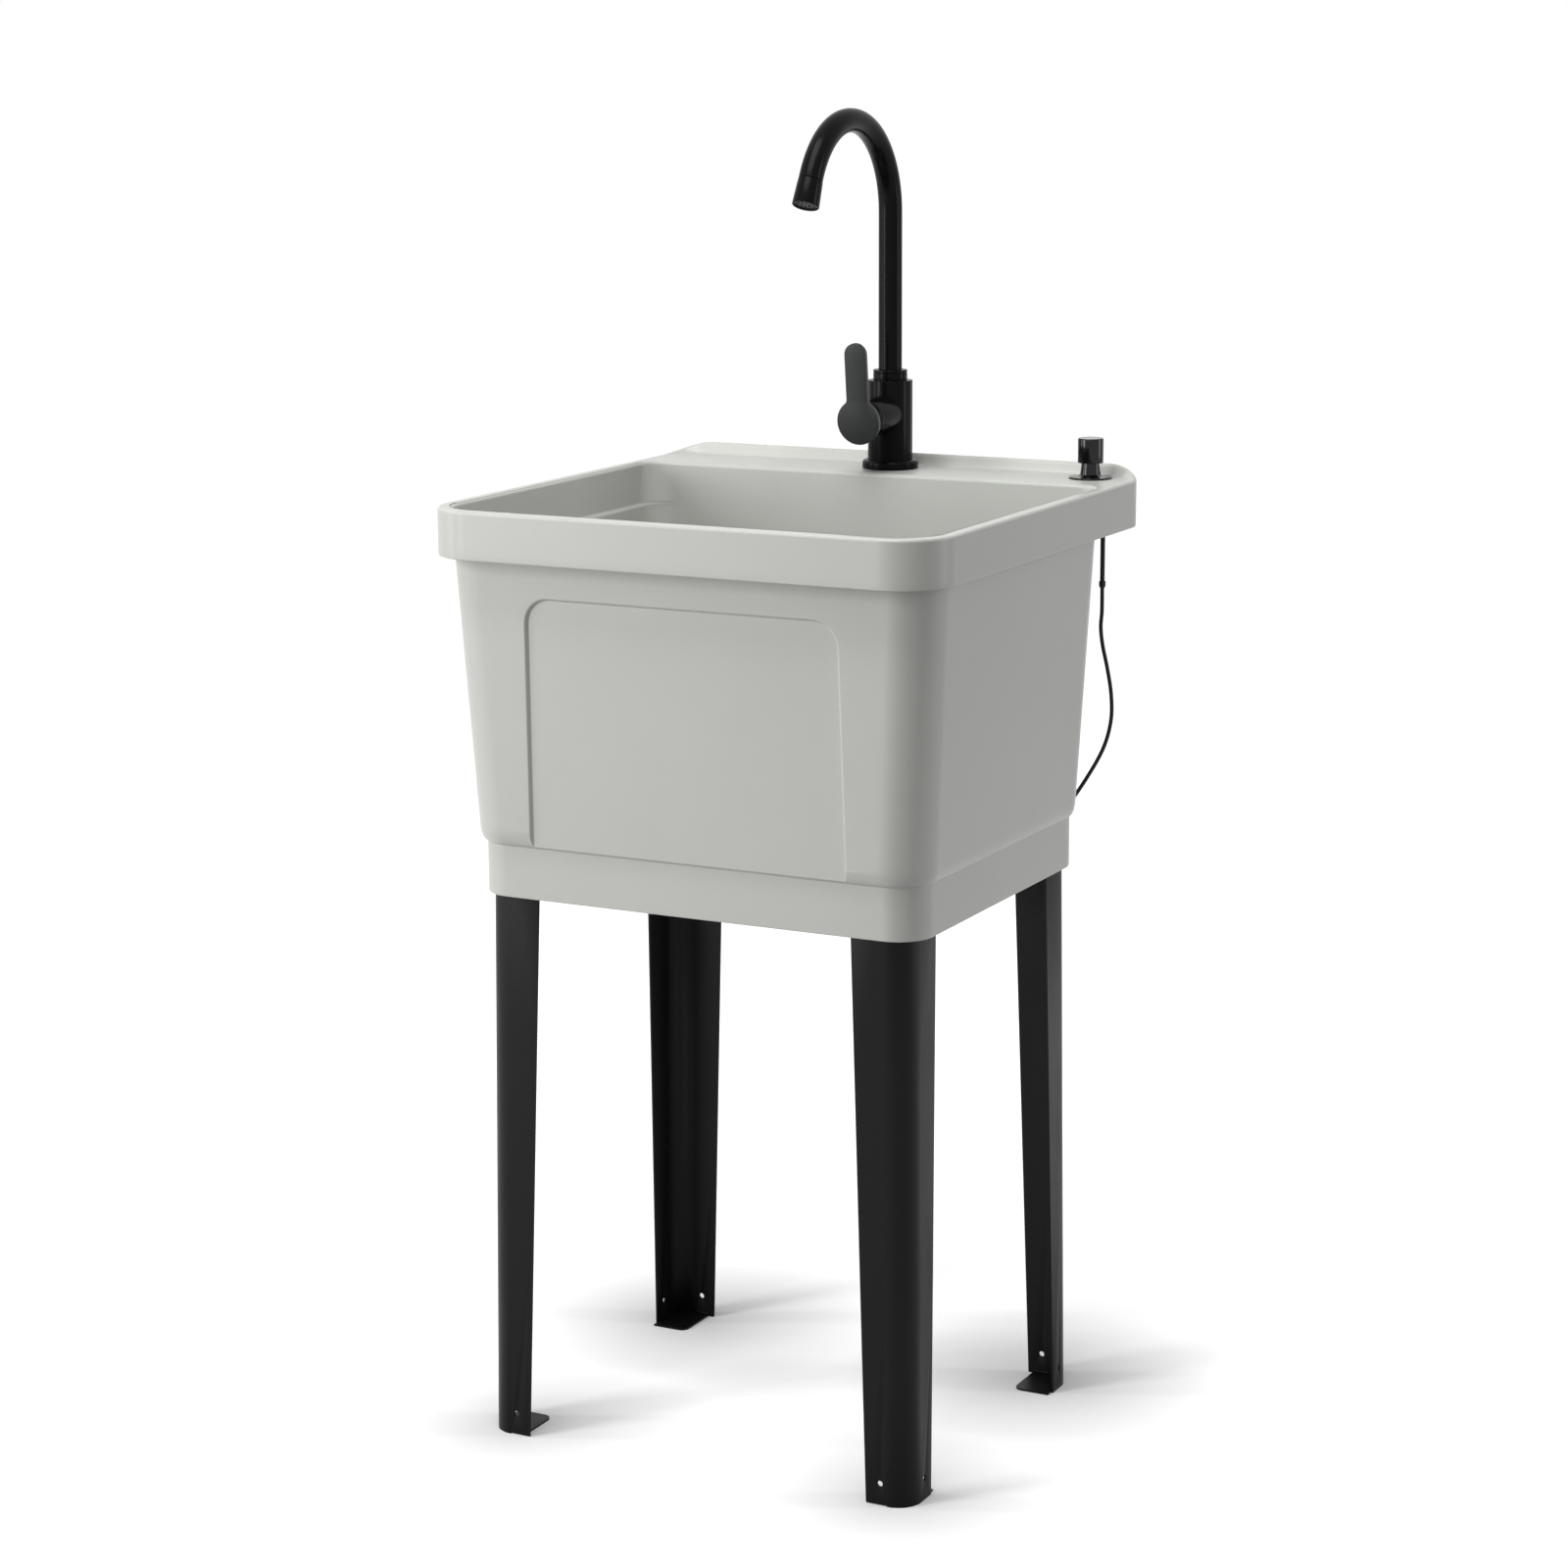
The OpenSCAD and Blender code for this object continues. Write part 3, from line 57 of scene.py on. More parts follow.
def place_camera():
    yaw, pitch, roll = (math.radians(angle) for angle in (YAW, PITCH, ROLL))
    ahead = Vector((-math.sin(yaw) * math.cos(pitch), math.cos(yaw) * math.cos(pitch),
                    -math.sin(pitch)))
    right = Vector((math.cos(yaw), math.sin(yaw), 0))
    up = right.cross(ahead)
    right, up = (right * math.cos(roll) + up * math.sin(roll),
                 up * math.cos(roll) - right * math.sin(roll))
    bpy.ops.object.camera_add()
    camera = bpy.context.object
    camera.name = "camera"
    camera.matrix_world = Matrix((
        (right.x, up.x, -ahead.x, CAMERA_X),
        (right.y, up.y, -ahead.y, CAMERA_Y),
        (right.z, up.z, -ahead.z, CAMERA_Z),
        (0, 0, 0, 1)))
    camera.data.lens = LENS
    camera.data.sensor_width = FILM_WIDTH
    camera.data.clip_end = FAR_LIMIT
    bpy.context.scene.camera = camera


place_camera()


# Nodes of the materials

def feed(tree, socket, value):
    """Links a node's output to a socket, or writes a plain value in it."""
    if isinstance(value, bpy.types.NodeSocket):
        tree.links.new(value, socket)
    else:
        socket.default_value = value


def add_node(tree, kind, inputs=()):
    """A node whose named inputs are fed with values or with other nodes' outputs."""
    node = tree.nodes.new("ShaderNode" + kind)
    for label, value in inputs:
        feed(tree, node.inputs[label], value)
    return node


def noise(tree, vector, scale, detail=2.0, roughness=0.5):
    return add_node(tree, "TexNoise", (("Vector", vector), ("Scale", scale), ("Detail", detail),
                                       ("Roughness", roughness))).outputs["Fac"]


def stretch(tree, vector, scale, turn=(0.0, 0.0, 0.0)):
    return add_node(tree, "Mapping", (("Vector", vector), ("Scale", scale),
                                      ("Rotation", turn))).outputs["Vector"]


def spread(tree, value, low, high, to_low=0.0, to_high=1.0):
    return add_node(tree, "MapRange", (("Value", value), ("From Min", low), ("From Max", high),
                                       ("To Min", to_low), ("To Max", to_high))).outputs["Result"]


def maths(tree, kind, a, b):
    node = add_node(tree, "Math")
    node.operation = kind
    feed(tree, node.inputs[0], a)
    feed(tree, node.inputs[1], b)
    return node.outputs[0]


def vector_maths(tree, kind, a, b=(0.0, 0.0, 0.0)):
    node = add_node(tree, "VectorMath")
    node.operation = kind
    feed(tree, node.inputs[0], a)
    feed(tree, node.inputs[1], b)
    return node.outputs["Value" if kind == "DISTANCE" else "Vector"]


def seen_by(tree, *kinds):
    """1 for rays of these kinds, 0 for all others."""
    rays = add_node(tree, "LightPath")
    seen = rays.outputs[kinds[0]]
    for kind in kinds[1:]:
        seen = maths(tree, "MAXIMUM", seen, rays.outputs[kind])
    return seen


def new_group(name, inputs, outputs):
    tree = bpy.data.node_groups.new(name, "ShaderNodeTree")
    for label, kind in inputs:
        tree.interface.new_socket(label, in_out="INPUT", socket_type="NodeSocket" + kind)
    for label in outputs:
        tree.interface.new_socket(label, in_out="OUTPUT", socket_type="NodeSocketFloat")
    return tree, tree.nodes.new("NodeGroupInput"), tree.nodes.new("NodeGroupOutput")


def use_group(tree, group, inputs):
    node = add_node(tree, "Group")
    node.node_tree = group
    for label, value in inputs:
        feed(tree, node.inputs[label], value)
    return node.outputs


# Patterns that the finishes share

GRAIN_SHARE, RIPPLE_SHARE = 0.55, 0.9
RIPPLE_SCALE, CLOUD_SCALE, WIPE_SCALE = 46.0, 5.5, 2.6
CLOUD_LOW, CLOUD_HIGH = 0.3, 0.72
WIPE_LOW, WIPE_HIGH = 0.36, 0.7
WIPE_STRETCH, WIPE_TURN = (9.0, 9.0, 2.2), (0.5, 0.3, 0.0)
BRUSH_STRETCH = (60.0, 60.0, 2600.0)


def make_skin_group():
    """Fine grain, cloudy mottling and wiped marks that every finish shares."""
    tree, given, out = new_group("skin", (("Vector", "Vector"), ("Grain", "Float")),
                                 ("Height", "Mottle", "Marks"))
    vector = given.outputs["Vector"]
    grain = noise(tree, vector, given.outputs["Grain"], detail=3.0, roughness=0.6)
    ripple = noise(tree, vector, RIPPLE_SCALE, detail=1.0)
    cloud = noise(tree, vector, CLOUD_SCALE, detail=5.0, roughness=0.62)
    wipe = noise(tree, stretch(tree, vector, WIPE_STRETCH, WIPE_TURN), WIPE_SCALE, detail=3.0,
                 roughness=0.55)
    height = maths(tree, "ADD", maths(tree, "MULTIPLY", grain, GRAIN_SHARE),
                   maths(tree, "MULTIPLY", ripple, RIPPLE_SHARE))
    feed(tree, out.inputs["Height"], height)
    feed(tree, out.inputs["Mottle"], spread(tree, cloud, CLOUD_LOW, CLOUD_HIGH))
    feed(tree, out.inputs["Marks"], spread(tree, wipe, WIPE_LOW, WIPE_HIGH))
    return tree


def make_brush_group():
    """Turned or brushed lines round the Z axis, for bare metal."""
    tree, given, out = new_group("brushed", (("Vector", "Vector"),), ("Height",))
    lines = noise(tree, stretch(tree, given.outputs["Vector"], BRUSH_STRETCH), 1.0)
    feed(tree, out.inputs["Height"], lines)
    return tree


skin_group = make_skin_group()
brush_group = make_brush_group()


def finish(name, colour, roughness, grain, depth, mottle, marks, specular=0.5, metallic=0.0,
           brushed=False):
    """A finish: grain is the scale of its fine grain and depth the height of it in mm, mottle
    the share by which the colour varies, and marks how much rougher the wiped marks are."""
    material = bpy.data.materials.new(name)
    material.use_nodes = True
    tree = material.node_tree
    where = add_node(tree, "TexCoord").outputs["Object"]
    skin = use_group(tree, skin_group, (("Vector", where), ("Grain", grain)))
    tint = add_node(tree, "Mix")
    tint.data_type = "RGBA"
    feed(tree, tint.inputs["Factor"], skin["Mottle"])
    feed(tree, tint.inputs["A"], [c * (1 - mottle) for c in colour] + [1])
    feed(tree, tint.inputs["B"], [min(1, c * (1 + mottle)) for c in colour] + [1])
    height = skin["Height"]
    if brushed:
        lines = use_group(tree, brush_group, (("Vector", where),))
        height = maths(tree, "ADD", height, lines["Height"])
    bump = add_node(tree, "Bump", (("Strength", 1.0), ("Distance", depth * MM),
                                   ("Height", height)))
    shader = tree.nodes["Principled BSDF"]
    rough = spread(tree, skin["Marks"], 0, 1, roughness, roughness + marks)
    for label, value in (("Base Color", tint.outputs["Result"]), ("Metallic", metallic),
                         ("Roughness", rough), ("Specular IOR Level", specular),
                         ("Normal", bump.outputs["Normal"])):
        feed(tree, shader.inputs[label], value)
    return material


# Finishes, each named for its slot

def tub_plastic():
    return finish("tub plastic", (0.55, 0.556, 0.525), 0.33, grain=620, depth=0.03,
                  mottle=0.02, marks=0.02, specular=0.4)


def leg_coat():
    return finish("leg powder coat", (0.0035, 0.0036, 0.0038), 0.36, grain=1500, depth=0.05,
                  mottle=0.12, marks=0.12, specular=0.12)


def tap_black():
    return finish("tap black", (0.004, 0.004, 0.0042), 0.18, grain=1200, depth=0.008,
                  mottle=0.1, marks=0.08, specular=0.06)


def handle_black():
    return finish("handle black", (0.019, 0.02, 0.021), 0.4, grain=1600, depth=0.015,
                  mottle=0.08, marks=0.12, specular=0.32)


def knob_black():
    return finish("knob black chrome", (0.028, 0.028, 0.029), 0.08, grain=900, depth=0.004,
                  mottle=0.05, marks=0.08, metallic=1.0)


def steel():
    return finish("zinc-plated steel", (0.56, 0.56, 0.57), 0.3, grain=700, depth=0.01,
                  mottle=0.08, marks=0.2, metallic=1.0, brushed=True)


def waste_chrome():
    return finish("waste chrome", (0.78, 0.78, 0.8), 0.08, grain=500, depth=0.004,
                  mottle=0.03, marks=0.12, metallic=1.0)


def brass():
    return finish("machined brass", (0.62, 0.45, 0.2), 0.28, grain=700, depth=0.01,
                  mottle=0.1, marks=0.2, metallic=1.0, brushed=True)


def white_plastic():
    return finish("white plastic", (0.72, 0.72, 0.69), 0.38, grain=800, depth=0.02,
                  mottle=0.03, marks=0.1)


def black_plastic():
    return finish("black plastic", (0.011, 0.011, 0.012), 0.36, grain=1100, depth=0.03,
                  mottle=0.1, marks=0.14, specular=0.2)


def rubber():
    return finish("black rubber", (0.02, 0.02, 0.02), 0.7, grain=900, depth=0.05,
                  mottle=0.15, marks=0.15)


finishes = {make.__name__: make() for make in (
    tub_plastic, leg_coat, tap_black, handle_black, knob_black, steel, waste_chrome, brass,
    white_plastic, black_plastic, rubber)}


def paint_source_nodes():
    """Gives each solid of the source the finish of its slot."""
    for part in frame["record"]["subparts"]:
        shown = frame["nodes"][part["node"]]
        for holder in shown.material_slots:
            holder.material = finishes[part["material_slot"]]
        if not shown.material_slots:
            shown.data.materials.append(finishes[part["material_slot"]])


paint_source_nodes()


# Making pieces

SMOOTH_ANGLE, SMOOTH_LESS, SHARP_ANGLE = 34, 30, 40  # degrees
SIDES_WIDE, SIDES_MIDDLE, SIDES_SLIM, SIDES_TOOL = 128, 112, 96, 72
POLE_R = 0.02  # the least radius of a ring, which keeps its points apart


def at(x, y, z):
    return Vector((x, y, z)) * MM


def lift(x, y, z):
    return Matrix.Translation((x * MM, y * MM, z * MM))


def turn(degrees, axis):
    return Matrix.Rotation(math.radians(degrees), 4, axis)


def pick(obj):
    bpy.ops.object.select_all(action="DESELECT")
    obj.select_set(True)
    bpy.context.view_layer.objects.active = obj


def choose_points(obj, wanted):
    """Selects the vertices for which wanted(co) holds, in edit mode."""
    bm = bmesh.from_edit_mesh(obj.data)
    bm.select_mode = {"VERT"}
    for face in bm.faces:
        face.select = False
    for vert in bm.verts:
        vert.select = wanted(vert.co)
    bm.select_flush_mode()
    bmesh.update_edit_mesh(obj.data)


def face_outwards(obj):
    pick(obj)
    bpy.ops.object.mode_set(mode="EDIT")
    bpy.ops.mesh.select_all(action="SELECT")
    bpy.ops.mesh.normals_make_consistent(inside=False)
    bpy.ops.object.mode_set(mode="OBJECT")


def smooth(obj, degrees=SMOOTH_ANGLE):
    pick(obj)
    bpy.ops.object.shade_smooth_by_angle(angle=math.radians(degrees))


def grow(name, rings, smooth_below=SMOOTH_ANGLE):
    """A closed skin grown from a circle: each ring is extruded from the last and moved to its
    place, and both ends are capped."""
    bpy.ops.mesh.primitive_circle_add(vertices=len(rings[0]), radius=1)
    obj = bpy.context.object
    obj.name = obj.data.name = name
    place = {}
    for i, vert in enumerate(obj.data.vertices):
        vert.co = rings[0][i]
        place[tuple(vert.co)] = i
    first = set(place)
    bpy.ops.object.mode_set(mode="EDIT")
    bpy.ops.mesh.select_mode(type="VERT")
    bpy.ops.mesh.select_all(action="SELECT")
    for ring in rings[1:]:
        bpy.ops.mesh.extrude_region_move()
        bm = bmesh.from_edit_mesh(obj.data)
        fresh = {}
        for vert in bm.verts:
            if vert.select:
                i = place[tuple(vert.co)]
                vert.co = ring[i]
                fresh[tuple(vert.co)] = i
        place = fresh
        bmesh.update_edit_mesh(obj.data)
    bpy.ops.mesh.edge_face_add()
    choose_points(obj, lambda co: tuple(co) in first)
    bpy.ops.mesh.edge_face_add()
    bpy.ops.object.mode_set(mode="OBJECT")
    face_outwards(obj)
    smooth(obj, smooth_below)
    return obj


def use_modifier(obj, kind, **values):
    pick(obj)
    modifier = obj.modifiers.new(kind.lower(), kind)
    for key, value in values.items():
        setattr(modifier, key, value)
    bpy.ops.object.modifier_apply(modifier=modifier.name)


def carve(obj, tool, operation="DIFFERENCE"):
    use_modifier(obj, "BOOLEAN", object=tool, operation=operation, solver="EXACT")
    bpy.data.objects.remove(tool, do_unlink=True)


def soften(obj, width):
    """Rounds a piece's sharp edges."""
    use_modifier(obj, "BEVEL", width=width * MM, segments=2, limit_method="ANGLE",
                 angle_limit=math.radians(SHARP_ANGLE), harden_normals=False)
    smooth(obj)


def settle(obj, body, slot, *nodes):
    """Gives a finished piece its colour and its body, and hides the solids that it stands for."""
    obj.data.materials.clear()
    obj.data.materials.append(finishes[slot])
    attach(obj, body)
    if nodes:
        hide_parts(*nodes)


def fillet(points, steps):
    """Corner points (r, z, radius) to a line whose corners are rounded."""
    line = []
    for i, (r, z, radius) in enumerate(points):
        here = Vector((r, z))
        if radius == 0 or i in (0, len(points) - 1):
            line.append(here)
            continue
        back = (Vector(points[i - 1][:2]) - here).normalized()
        on = (Vector(points[i + 1][:2]) - here).normalized()
        half = back.angle(on) / 2
        reach = radius / math.tan(half)
        centre = here + (back + on).normalized() * radius / math.sin(half)
        start, end = here + back * reach - centre, here + on * reach - centre
        sweep = start.angle(end)
        for k in range(steps + 1):
            t = k / steps
            line.append(centre + (start * math.sin((1 - t) * sweep) + end * math.sin(t * sweep))
                        / math.sin(sweep))
    return line


def circle(place, r, z, sides):
    """A ring of points about a frame's Z axis."""
    return [place @ at(r * math.cos(math.tau * k / sides), r * math.sin(math.tau * k / sides), z)
            for k in range(sides)]


def turned(name, points, place, sides, steps=4):
    """A round piece turned from its profile; place takes its own frame to the object's."""
    return grow(name, [circle(place, max(r, POLE_R), z, sides)
                       for r, z in fillet(points, steps)])


def peg(name, r, low, high, place, sides=SIDES_TOOL):
    """A plain round tool that drills a hole."""
    return turned(name, ((0, low, 0), (r, low, 0), (r, high, 0), (0, high, 0)), place, sides)


# Tub

# The source's sizes, but for the rim's outer round, the ledge and the rear corners of the
# mouth and the basin, and the panel's edge, which follow the photo more closely
RIM_W, RIM_D, RIM_Z = 505.0, 490.0, 876.0
RIM_R_FRONT, RIM_R_REAR = 50, 40
FRONT, REAR = -RIM_D / 2, RIM_D / 2
BAND_H, DECK_T, SPARE = 44, 5.0, 3
BAND_Z, UNDER_Z = RIM_Z - BAND_H, RIM_Z - DECK_T
SKIRT_Z, STEP_Z, BELLY_Z, CEIL_Z = 519.0, 567.5, 585.5, 570.0
DRAIN_Z, FLOOR_Z = 578.0, 582.0
DRAIN_Y, TAP_Y = -27.0, 206.0
KNOB_X, KNOB_Y = 206.5, 211.0
MOUTH_W, MOUTH_Y0, MOUTH_Y1 = 478.0, FRONT + 14.0, REAR - 84.0
MOUTH_R_FRONT, MOUTH_R_MIDDLE, MOUTH_R_TOP = 38, 25.5, 21
LEDGE_R, LEDGE_R_GROWTH = 24.6, 0.8
MOUTH_EDGE_R, MOUTH_DRAFT, MOUTH_LEAN = 3.5, 0.5, 0.6
SKIRT_W, SKIRT_Y0, SKIRT_Y1, SKIRT_R = 446.4, FRONT + 38.0, FRONT + 402.0, 34.0
SKIRT_T = 3
BODY_HALF, BODY_TAPER, BODY_R = 243.0, 14.0, 40
BODY_FRONT_IN, FRONT_LEAN = 20.0, 10.0
BODY_REAR_OUT, REAR_LEAN = 6.5, 5.0
BASIN_R_FRONT, BASIN_R_REAR, BASIN_R_GROWTH = 38, 25, 7
WALL_TOP, WALL_TAPER = 7.4, 1.4
BASIN_LEVELS, BELLY_LEVELS = (640, 720, 790), (760, 680, 610)
FLOOR_R = 24
DISH_HALF, DISH_R = 62, 60
LIP_H, LIP_RUN = 11, 52
RIM_EDGE_IN, RIM_EDGE_H, LIP_FACE = 2.8, 3, 8.7
TAP_HOLE_R, KNOB_HOLE_R, DRAIN_HOLE_R, DRAIN_SEAT_R = 17.5, 6.2, 23, 35.2
SEAT_DEEP = 2
CORNER_STEPS = 16

# Profiles as pairs of inset and height: the ledge inside the mouth and the band's lower edge
# from the band's foot, the skirt's lower edge from the skirt's foot
LEDGE = ((3.35, 0.8), (3.2, 1.5), (2.8, 2.2), (2.2, 3.1), (1.6, 4.0), (1.3, 4.7), (1.2, 5.6))
BAND_EDGE = ((0, 8), (0, 1.4), (0.4, 0.4), (1.4, 0), (2.8, 0), (3.7, 0.4), (4, 1.2))
SKIRT_EDGE = ((0, 30), (0, 1.4), (0.4, 0.4), (1.2, 0), (SKIRT_T, 0))
# The raised lip's inner face, as shares of its width and height
LIP_CURVE = ((1, 0), (0.9, 0.02), (0.8, 0.07), (0.68, 0.18), (0.55, 0.35), (0.42, 0.58),
             (0.3, 0.8), (0.15, 0.95))


def quarter(steps, first=0):
    """Angles of a quarter turn from 0 to 90 degrees, in radians."""
    return [math.radians(90 * k / steps) for k in range(first, steps + 1)]


def corner_ring(z, half, y0, y1, r0, r1, lip=0.0):
    """A rounded rectangle at height z whose back edge rises to the lip."""
    ring = []
    for c in range(4):
        right, front = c < 2, c in (0, 3)
        r = r0 if front else r1
        for i in range(CORNER_STEPS + 1):
            a = math.radians(-90 + 90 * (c + i / CORNER_STEPS))
            x = (half - r if right else r - half) + r * math.cos(a)
            y = (y0 + r if front else y1 - r) + r * math.sin(a)
            rise = lip * min(1, max(0, (y - (y1 - LIP_RUN)) / LIP_RUN)) ** 3
            ring.append(at(x, y, z + rise))
    return ring


def fall(z):
    """How far down the belly a height is, from 0 at the band's foot to 1."""
    return (BAND_Z - z) / (BAND_Z - BELLY_Z)


def body_sizes(z):
    """The belly's half width, front and rear at a height."""
    return (BODY_HALF - BODY_TAPER * fall(z), FRONT + BODY_FRONT_IN + FRONT_LEAN * fall(z),
            MOUTH_Y1 + BODY_REAR_OUT - REAR_LEAN * fall(z))


def rim(inset, z, lip=0.0):
    return corner_ring(z, RIM_W / 2 - inset, FRONT + inset, REAR - inset, RIM_R_FRONT - inset,
                       RIM_R_REAR - inset, lip)


def mouth(inset, z, rear_r):
    rear = min(inset, 0) + MOUTH_DRAFT * (RIM_Z - z) / BAND_H
    return corner_ring(z, MOUTH_W / 2 - inset, MOUTH_Y0 + inset, MOUTH_Y1 - rear,
                       MOUTH_R_FRONT - inset, rear_r - rear)


def basin(z, sunk=0.0, rise=0.0):
    half, front, _ = body_sizes(z)
    wall = WALL_TOP - WALL_TAPER * fall(z) + sunk
    return corner_ring(z + rise, half - wall, front + wall,
                       MOUTH_Y1 - MOUTH_DRAFT - REAR_LEAN * fall(z) - sunk, BASIN_R_FRONT,
                       BASIN_R_REAR + BASIN_R_GROWTH * fall(z))


def body(z):
    half, front, rear = body_sizes(z)
    return corner_ring(z, half, front, rear, BODY_R, BODY_R)


def skirt(inset, z):
    return corner_ring(z, SKIRT_W / 2 - inset, SKIRT_Y0 + inset, SKIRT_Y1 - inset,
                       SKIRT_R - inset, SKIRT_R - inset)


def step_ring(a):
    """A ring of the round step from the belly in to the skirt."""
    sizes = [low + (high - low) * math.cos(a) for low, high in zip(
        (SKIRT_W / 2, SKIRT_Y0, SKIRT_Y1, SKIRT_R), (*body_sizes(BELLY_Z), BODY_R))]
    return corner_ring(STEP_Z + (BELLY_Z - STEP_Z) * (1 - math.sin(a)), *sizes, sizes[3])


def tub_rings():
    """The tub's skin from the basin's floor up, over the rim and down to the skirt's ceiling."""
    rings = [corner_ring(DRAIN_Z, DISH_HALF, DRAIN_Y - DISH_HALF, DRAIN_Y + DISH_HALF, DISH_R,
                         DISH_R)]
    rings += [basin(FLOOR_Z + FLOOR_R, FLOOR_R * (1 - math.cos(a)), -FLOOR_R * math.sin(a))
              for a in reversed(quarter(8))]
    rings += [basin(z) for z in (*BASIN_LEVELS, BAND_Z)]
    rings += [mouth(inset, BAND_Z + up, LEDGE_R + LEDGE_R_GROWTH * up) for inset, up in LEDGE]
    rings.append(mouth(MOUTH_LEAN, RIM_Z - BAND_H / 2, MOUTH_R_MIDDLE))
    rings += [mouth(MOUTH_EDGE_R * (math.cos(a) - 1), RIM_Z - MOUTH_EDGE_R * (1 - math.sin(a)),
                    MOUTH_R_TOP) for a in quarter(6)]
    rings += [rim(RIM_EDGE_IN + LIP_FACE * across, RIM_Z, LIP_H * height)
              for across, height in LIP_CURVE]
    rings += [rim(RIM_EDGE_IN * (1 - math.cos(a)), RIM_Z - RIM_EDGE_H * (1 - math.sin(a)), LIP_H)
              for a in reversed(quarter(6))]
    rings += [rim(inset, BAND_Z + up) for inset, up in BAND_EDGE]
    rings.append(rim(BAND_EDGE[-1][0], UNDER_Z))
    rings += [body(z) for z in (UNDER_Z, BAND_Z, *BELLY_LEVELS, BELLY_Z)]
    rings += [step_ring(a) for a in quarter(8, first=1)]
    rings += [skirt(inset, SKIRT_Z + up) for inset, up in SKIRT_EDGE]
    rings.append(skirt(SKIRT_T, CEIL_Z))
    return rings


# Front panel

PANEL_HALF_TOP, PANEL_HALF_LOW, PANEL_R = 155, 158.5, 24
PANEL_TOP, PANEL_LOW = BAND_Z - 33, STEP_Z - 4
PANEL_DEEP, PANEL_LEAN = 3.4, 1.2
EDGE_ROUND, FOOT_FILLET = 1.6, 0.4
PROUD, PANEL_STEPS = 5.0, 12


def panel_ring(out, deep):
    """The panel's outline, set out beyond its edge and deep behind the tub's front."""
    r = PANEL_R + out
    ring = []
    for side, start in ((1, 0), (-1, 90)):
        for i in range(PANEL_STEPS + 1):
            a = math.radians(start + 90 * i / PANEL_STEPS)
            ring.append((side * (PANEL_HALF_TOP + out - r) + r * math.cos(a),
                         PANEL_TOP + out - r + r * math.sin(a)))
    ring += [(-PANEL_HALF_LOW - out, PANEL_LOW), (PANEL_HALF_LOW + out, PANEL_LOW)]
    return [at(x, body_sizes(z)[1] + deep, z) for x, z in ring]


def panel_tool():
    """The sunk panel's space: rounded over at its edge, with a leaning wall and a fillet."""
    steps = [(EDGE_ROUND + SPARE, -PROUD), (EDGE_ROUND, 0.0)]
    for a in quarter(5)[1:4]:
        steps.append((EDGE_ROUND - EDGE_ROUND * math.sin(a), EDGE_ROUND * (1 - math.cos(a))))
    steps.append((-PANEL_LEAN, PANEL_DEEP - FOOT_FILLET))
    for a in quarter(4, first=1):
        steps.append((-PANEL_LEAN - FOOT_FILLET + FOOT_FILLET * math.cos(a),
                      PANEL_DEEP - FOOT_FILLET + FOOT_FILLET * math.sin(a)))
    return grow("panel space", [panel_ring(out, deep) for out, deep in steps])


def make_tub():
    tub = grow("tub_shell", tub_rings(), SMOOTH_LESS)
    carve(tub, panel_tool())
    seat_z = DRAIN_Z - SEAT_DEEP
    for name, r, x, y, low, high in (
            ("tap hole", TAP_HOLE_R, 0, TAP_Y, UNDER_Z - SPARE, RIM_Z + SPARE),
            ("knob hole", KNOB_HOLE_R, KNOB_X, KNOB_Y, UNDER_Z - SPARE, RIM_Z + SPARE),
            ("waste hole", DRAIN_HOLE_R, 0, DRAIN_Y, CEIL_Z - SPARE, seat_z),
            ("waste seat", DRAIN_SEAT_R, 0, DRAIN_Y, seat_z, DRAIN_Z + 2 * SPARE)):
        carve(tub, peg(name, r, 0, high - low, lift(x, y, low)))
    smooth(tub, SMOOTH_LESS)
    use_modifier(tub, "WEIGHTED_NORMAL", keep_sharp=True, weight=80)
    settle(tub, "stand", "tub_plastic", "tub")


make_tub()


# Legs

LEAN = 0.6  # degrees
LEG_R, LEG_T, FOOT_BEND = 23.0, 2.0, 3.2
LEG_TOP, LEG_SPARE = CEIL_Z - 0.1, 4
LEG_LEVELS = (200.0, 400.0)
LEG_IN_X, LEG_IN_Y = 9.5, 3.8
FLANGE_LOW, FLANGE_GROWTH, FLANGE_END = 44, 12, 60.0
HOLE_IN, HOLE_Z, HOLE_R, HOLE_SIDES = 30.0, 21.0, 2.75, 32
FOOT_W, FOOT_LONG, FOOT_CORNER = 38.0, 44, 8
FOOT_STATIONS = (8.0, 12.0, 17.0, LEG_R, FOOT_LONG)
FOLD_STEPS, BEND_STEPS, FOOT_CORNER_STEPS = 12, 6, 7
LEG_EDGE, PAD_EDGE = 0.3, 0.8
PAD_T, PAD_W, PAD_H = 6.9, 35, 49
PAD_AT = (-3.55, 34.5, 546.5)


def leg_place(side, end, upright=False):
    """The frame of a leg at its corner, x and y running inwards along its flanges."""
    mirror = Matrix.Diagonal((-side, -end, 1, 1))
    x = side * (SKIRT_W / 2 - LEG_IN_X)
    y = SKIRT_Y0 + LEG_IN_Y if end < 0 else SKIRT_Y1 - LEG_IN_Y
    if upright:
        out = SKIRT_Z * math.tan(math.radians(LEAN))
        return lift(x + side * out, y + end * out, 0) @ mirror
    lean = turn(LEAN, "Y") @ turn(-LEAN, "X")
    return lift(x, y, SKIRT_Z) @ mirror @ lean @ lift(0, 0, -SKIRT_Z)


def fold_arc(r):
    """The leg's fold at a radius, from one flange round to the other."""
    return [(LEG_R - r * math.cos(a), LEG_R - r * math.sin(a)) for a in quarter(FOLD_STEPS)]


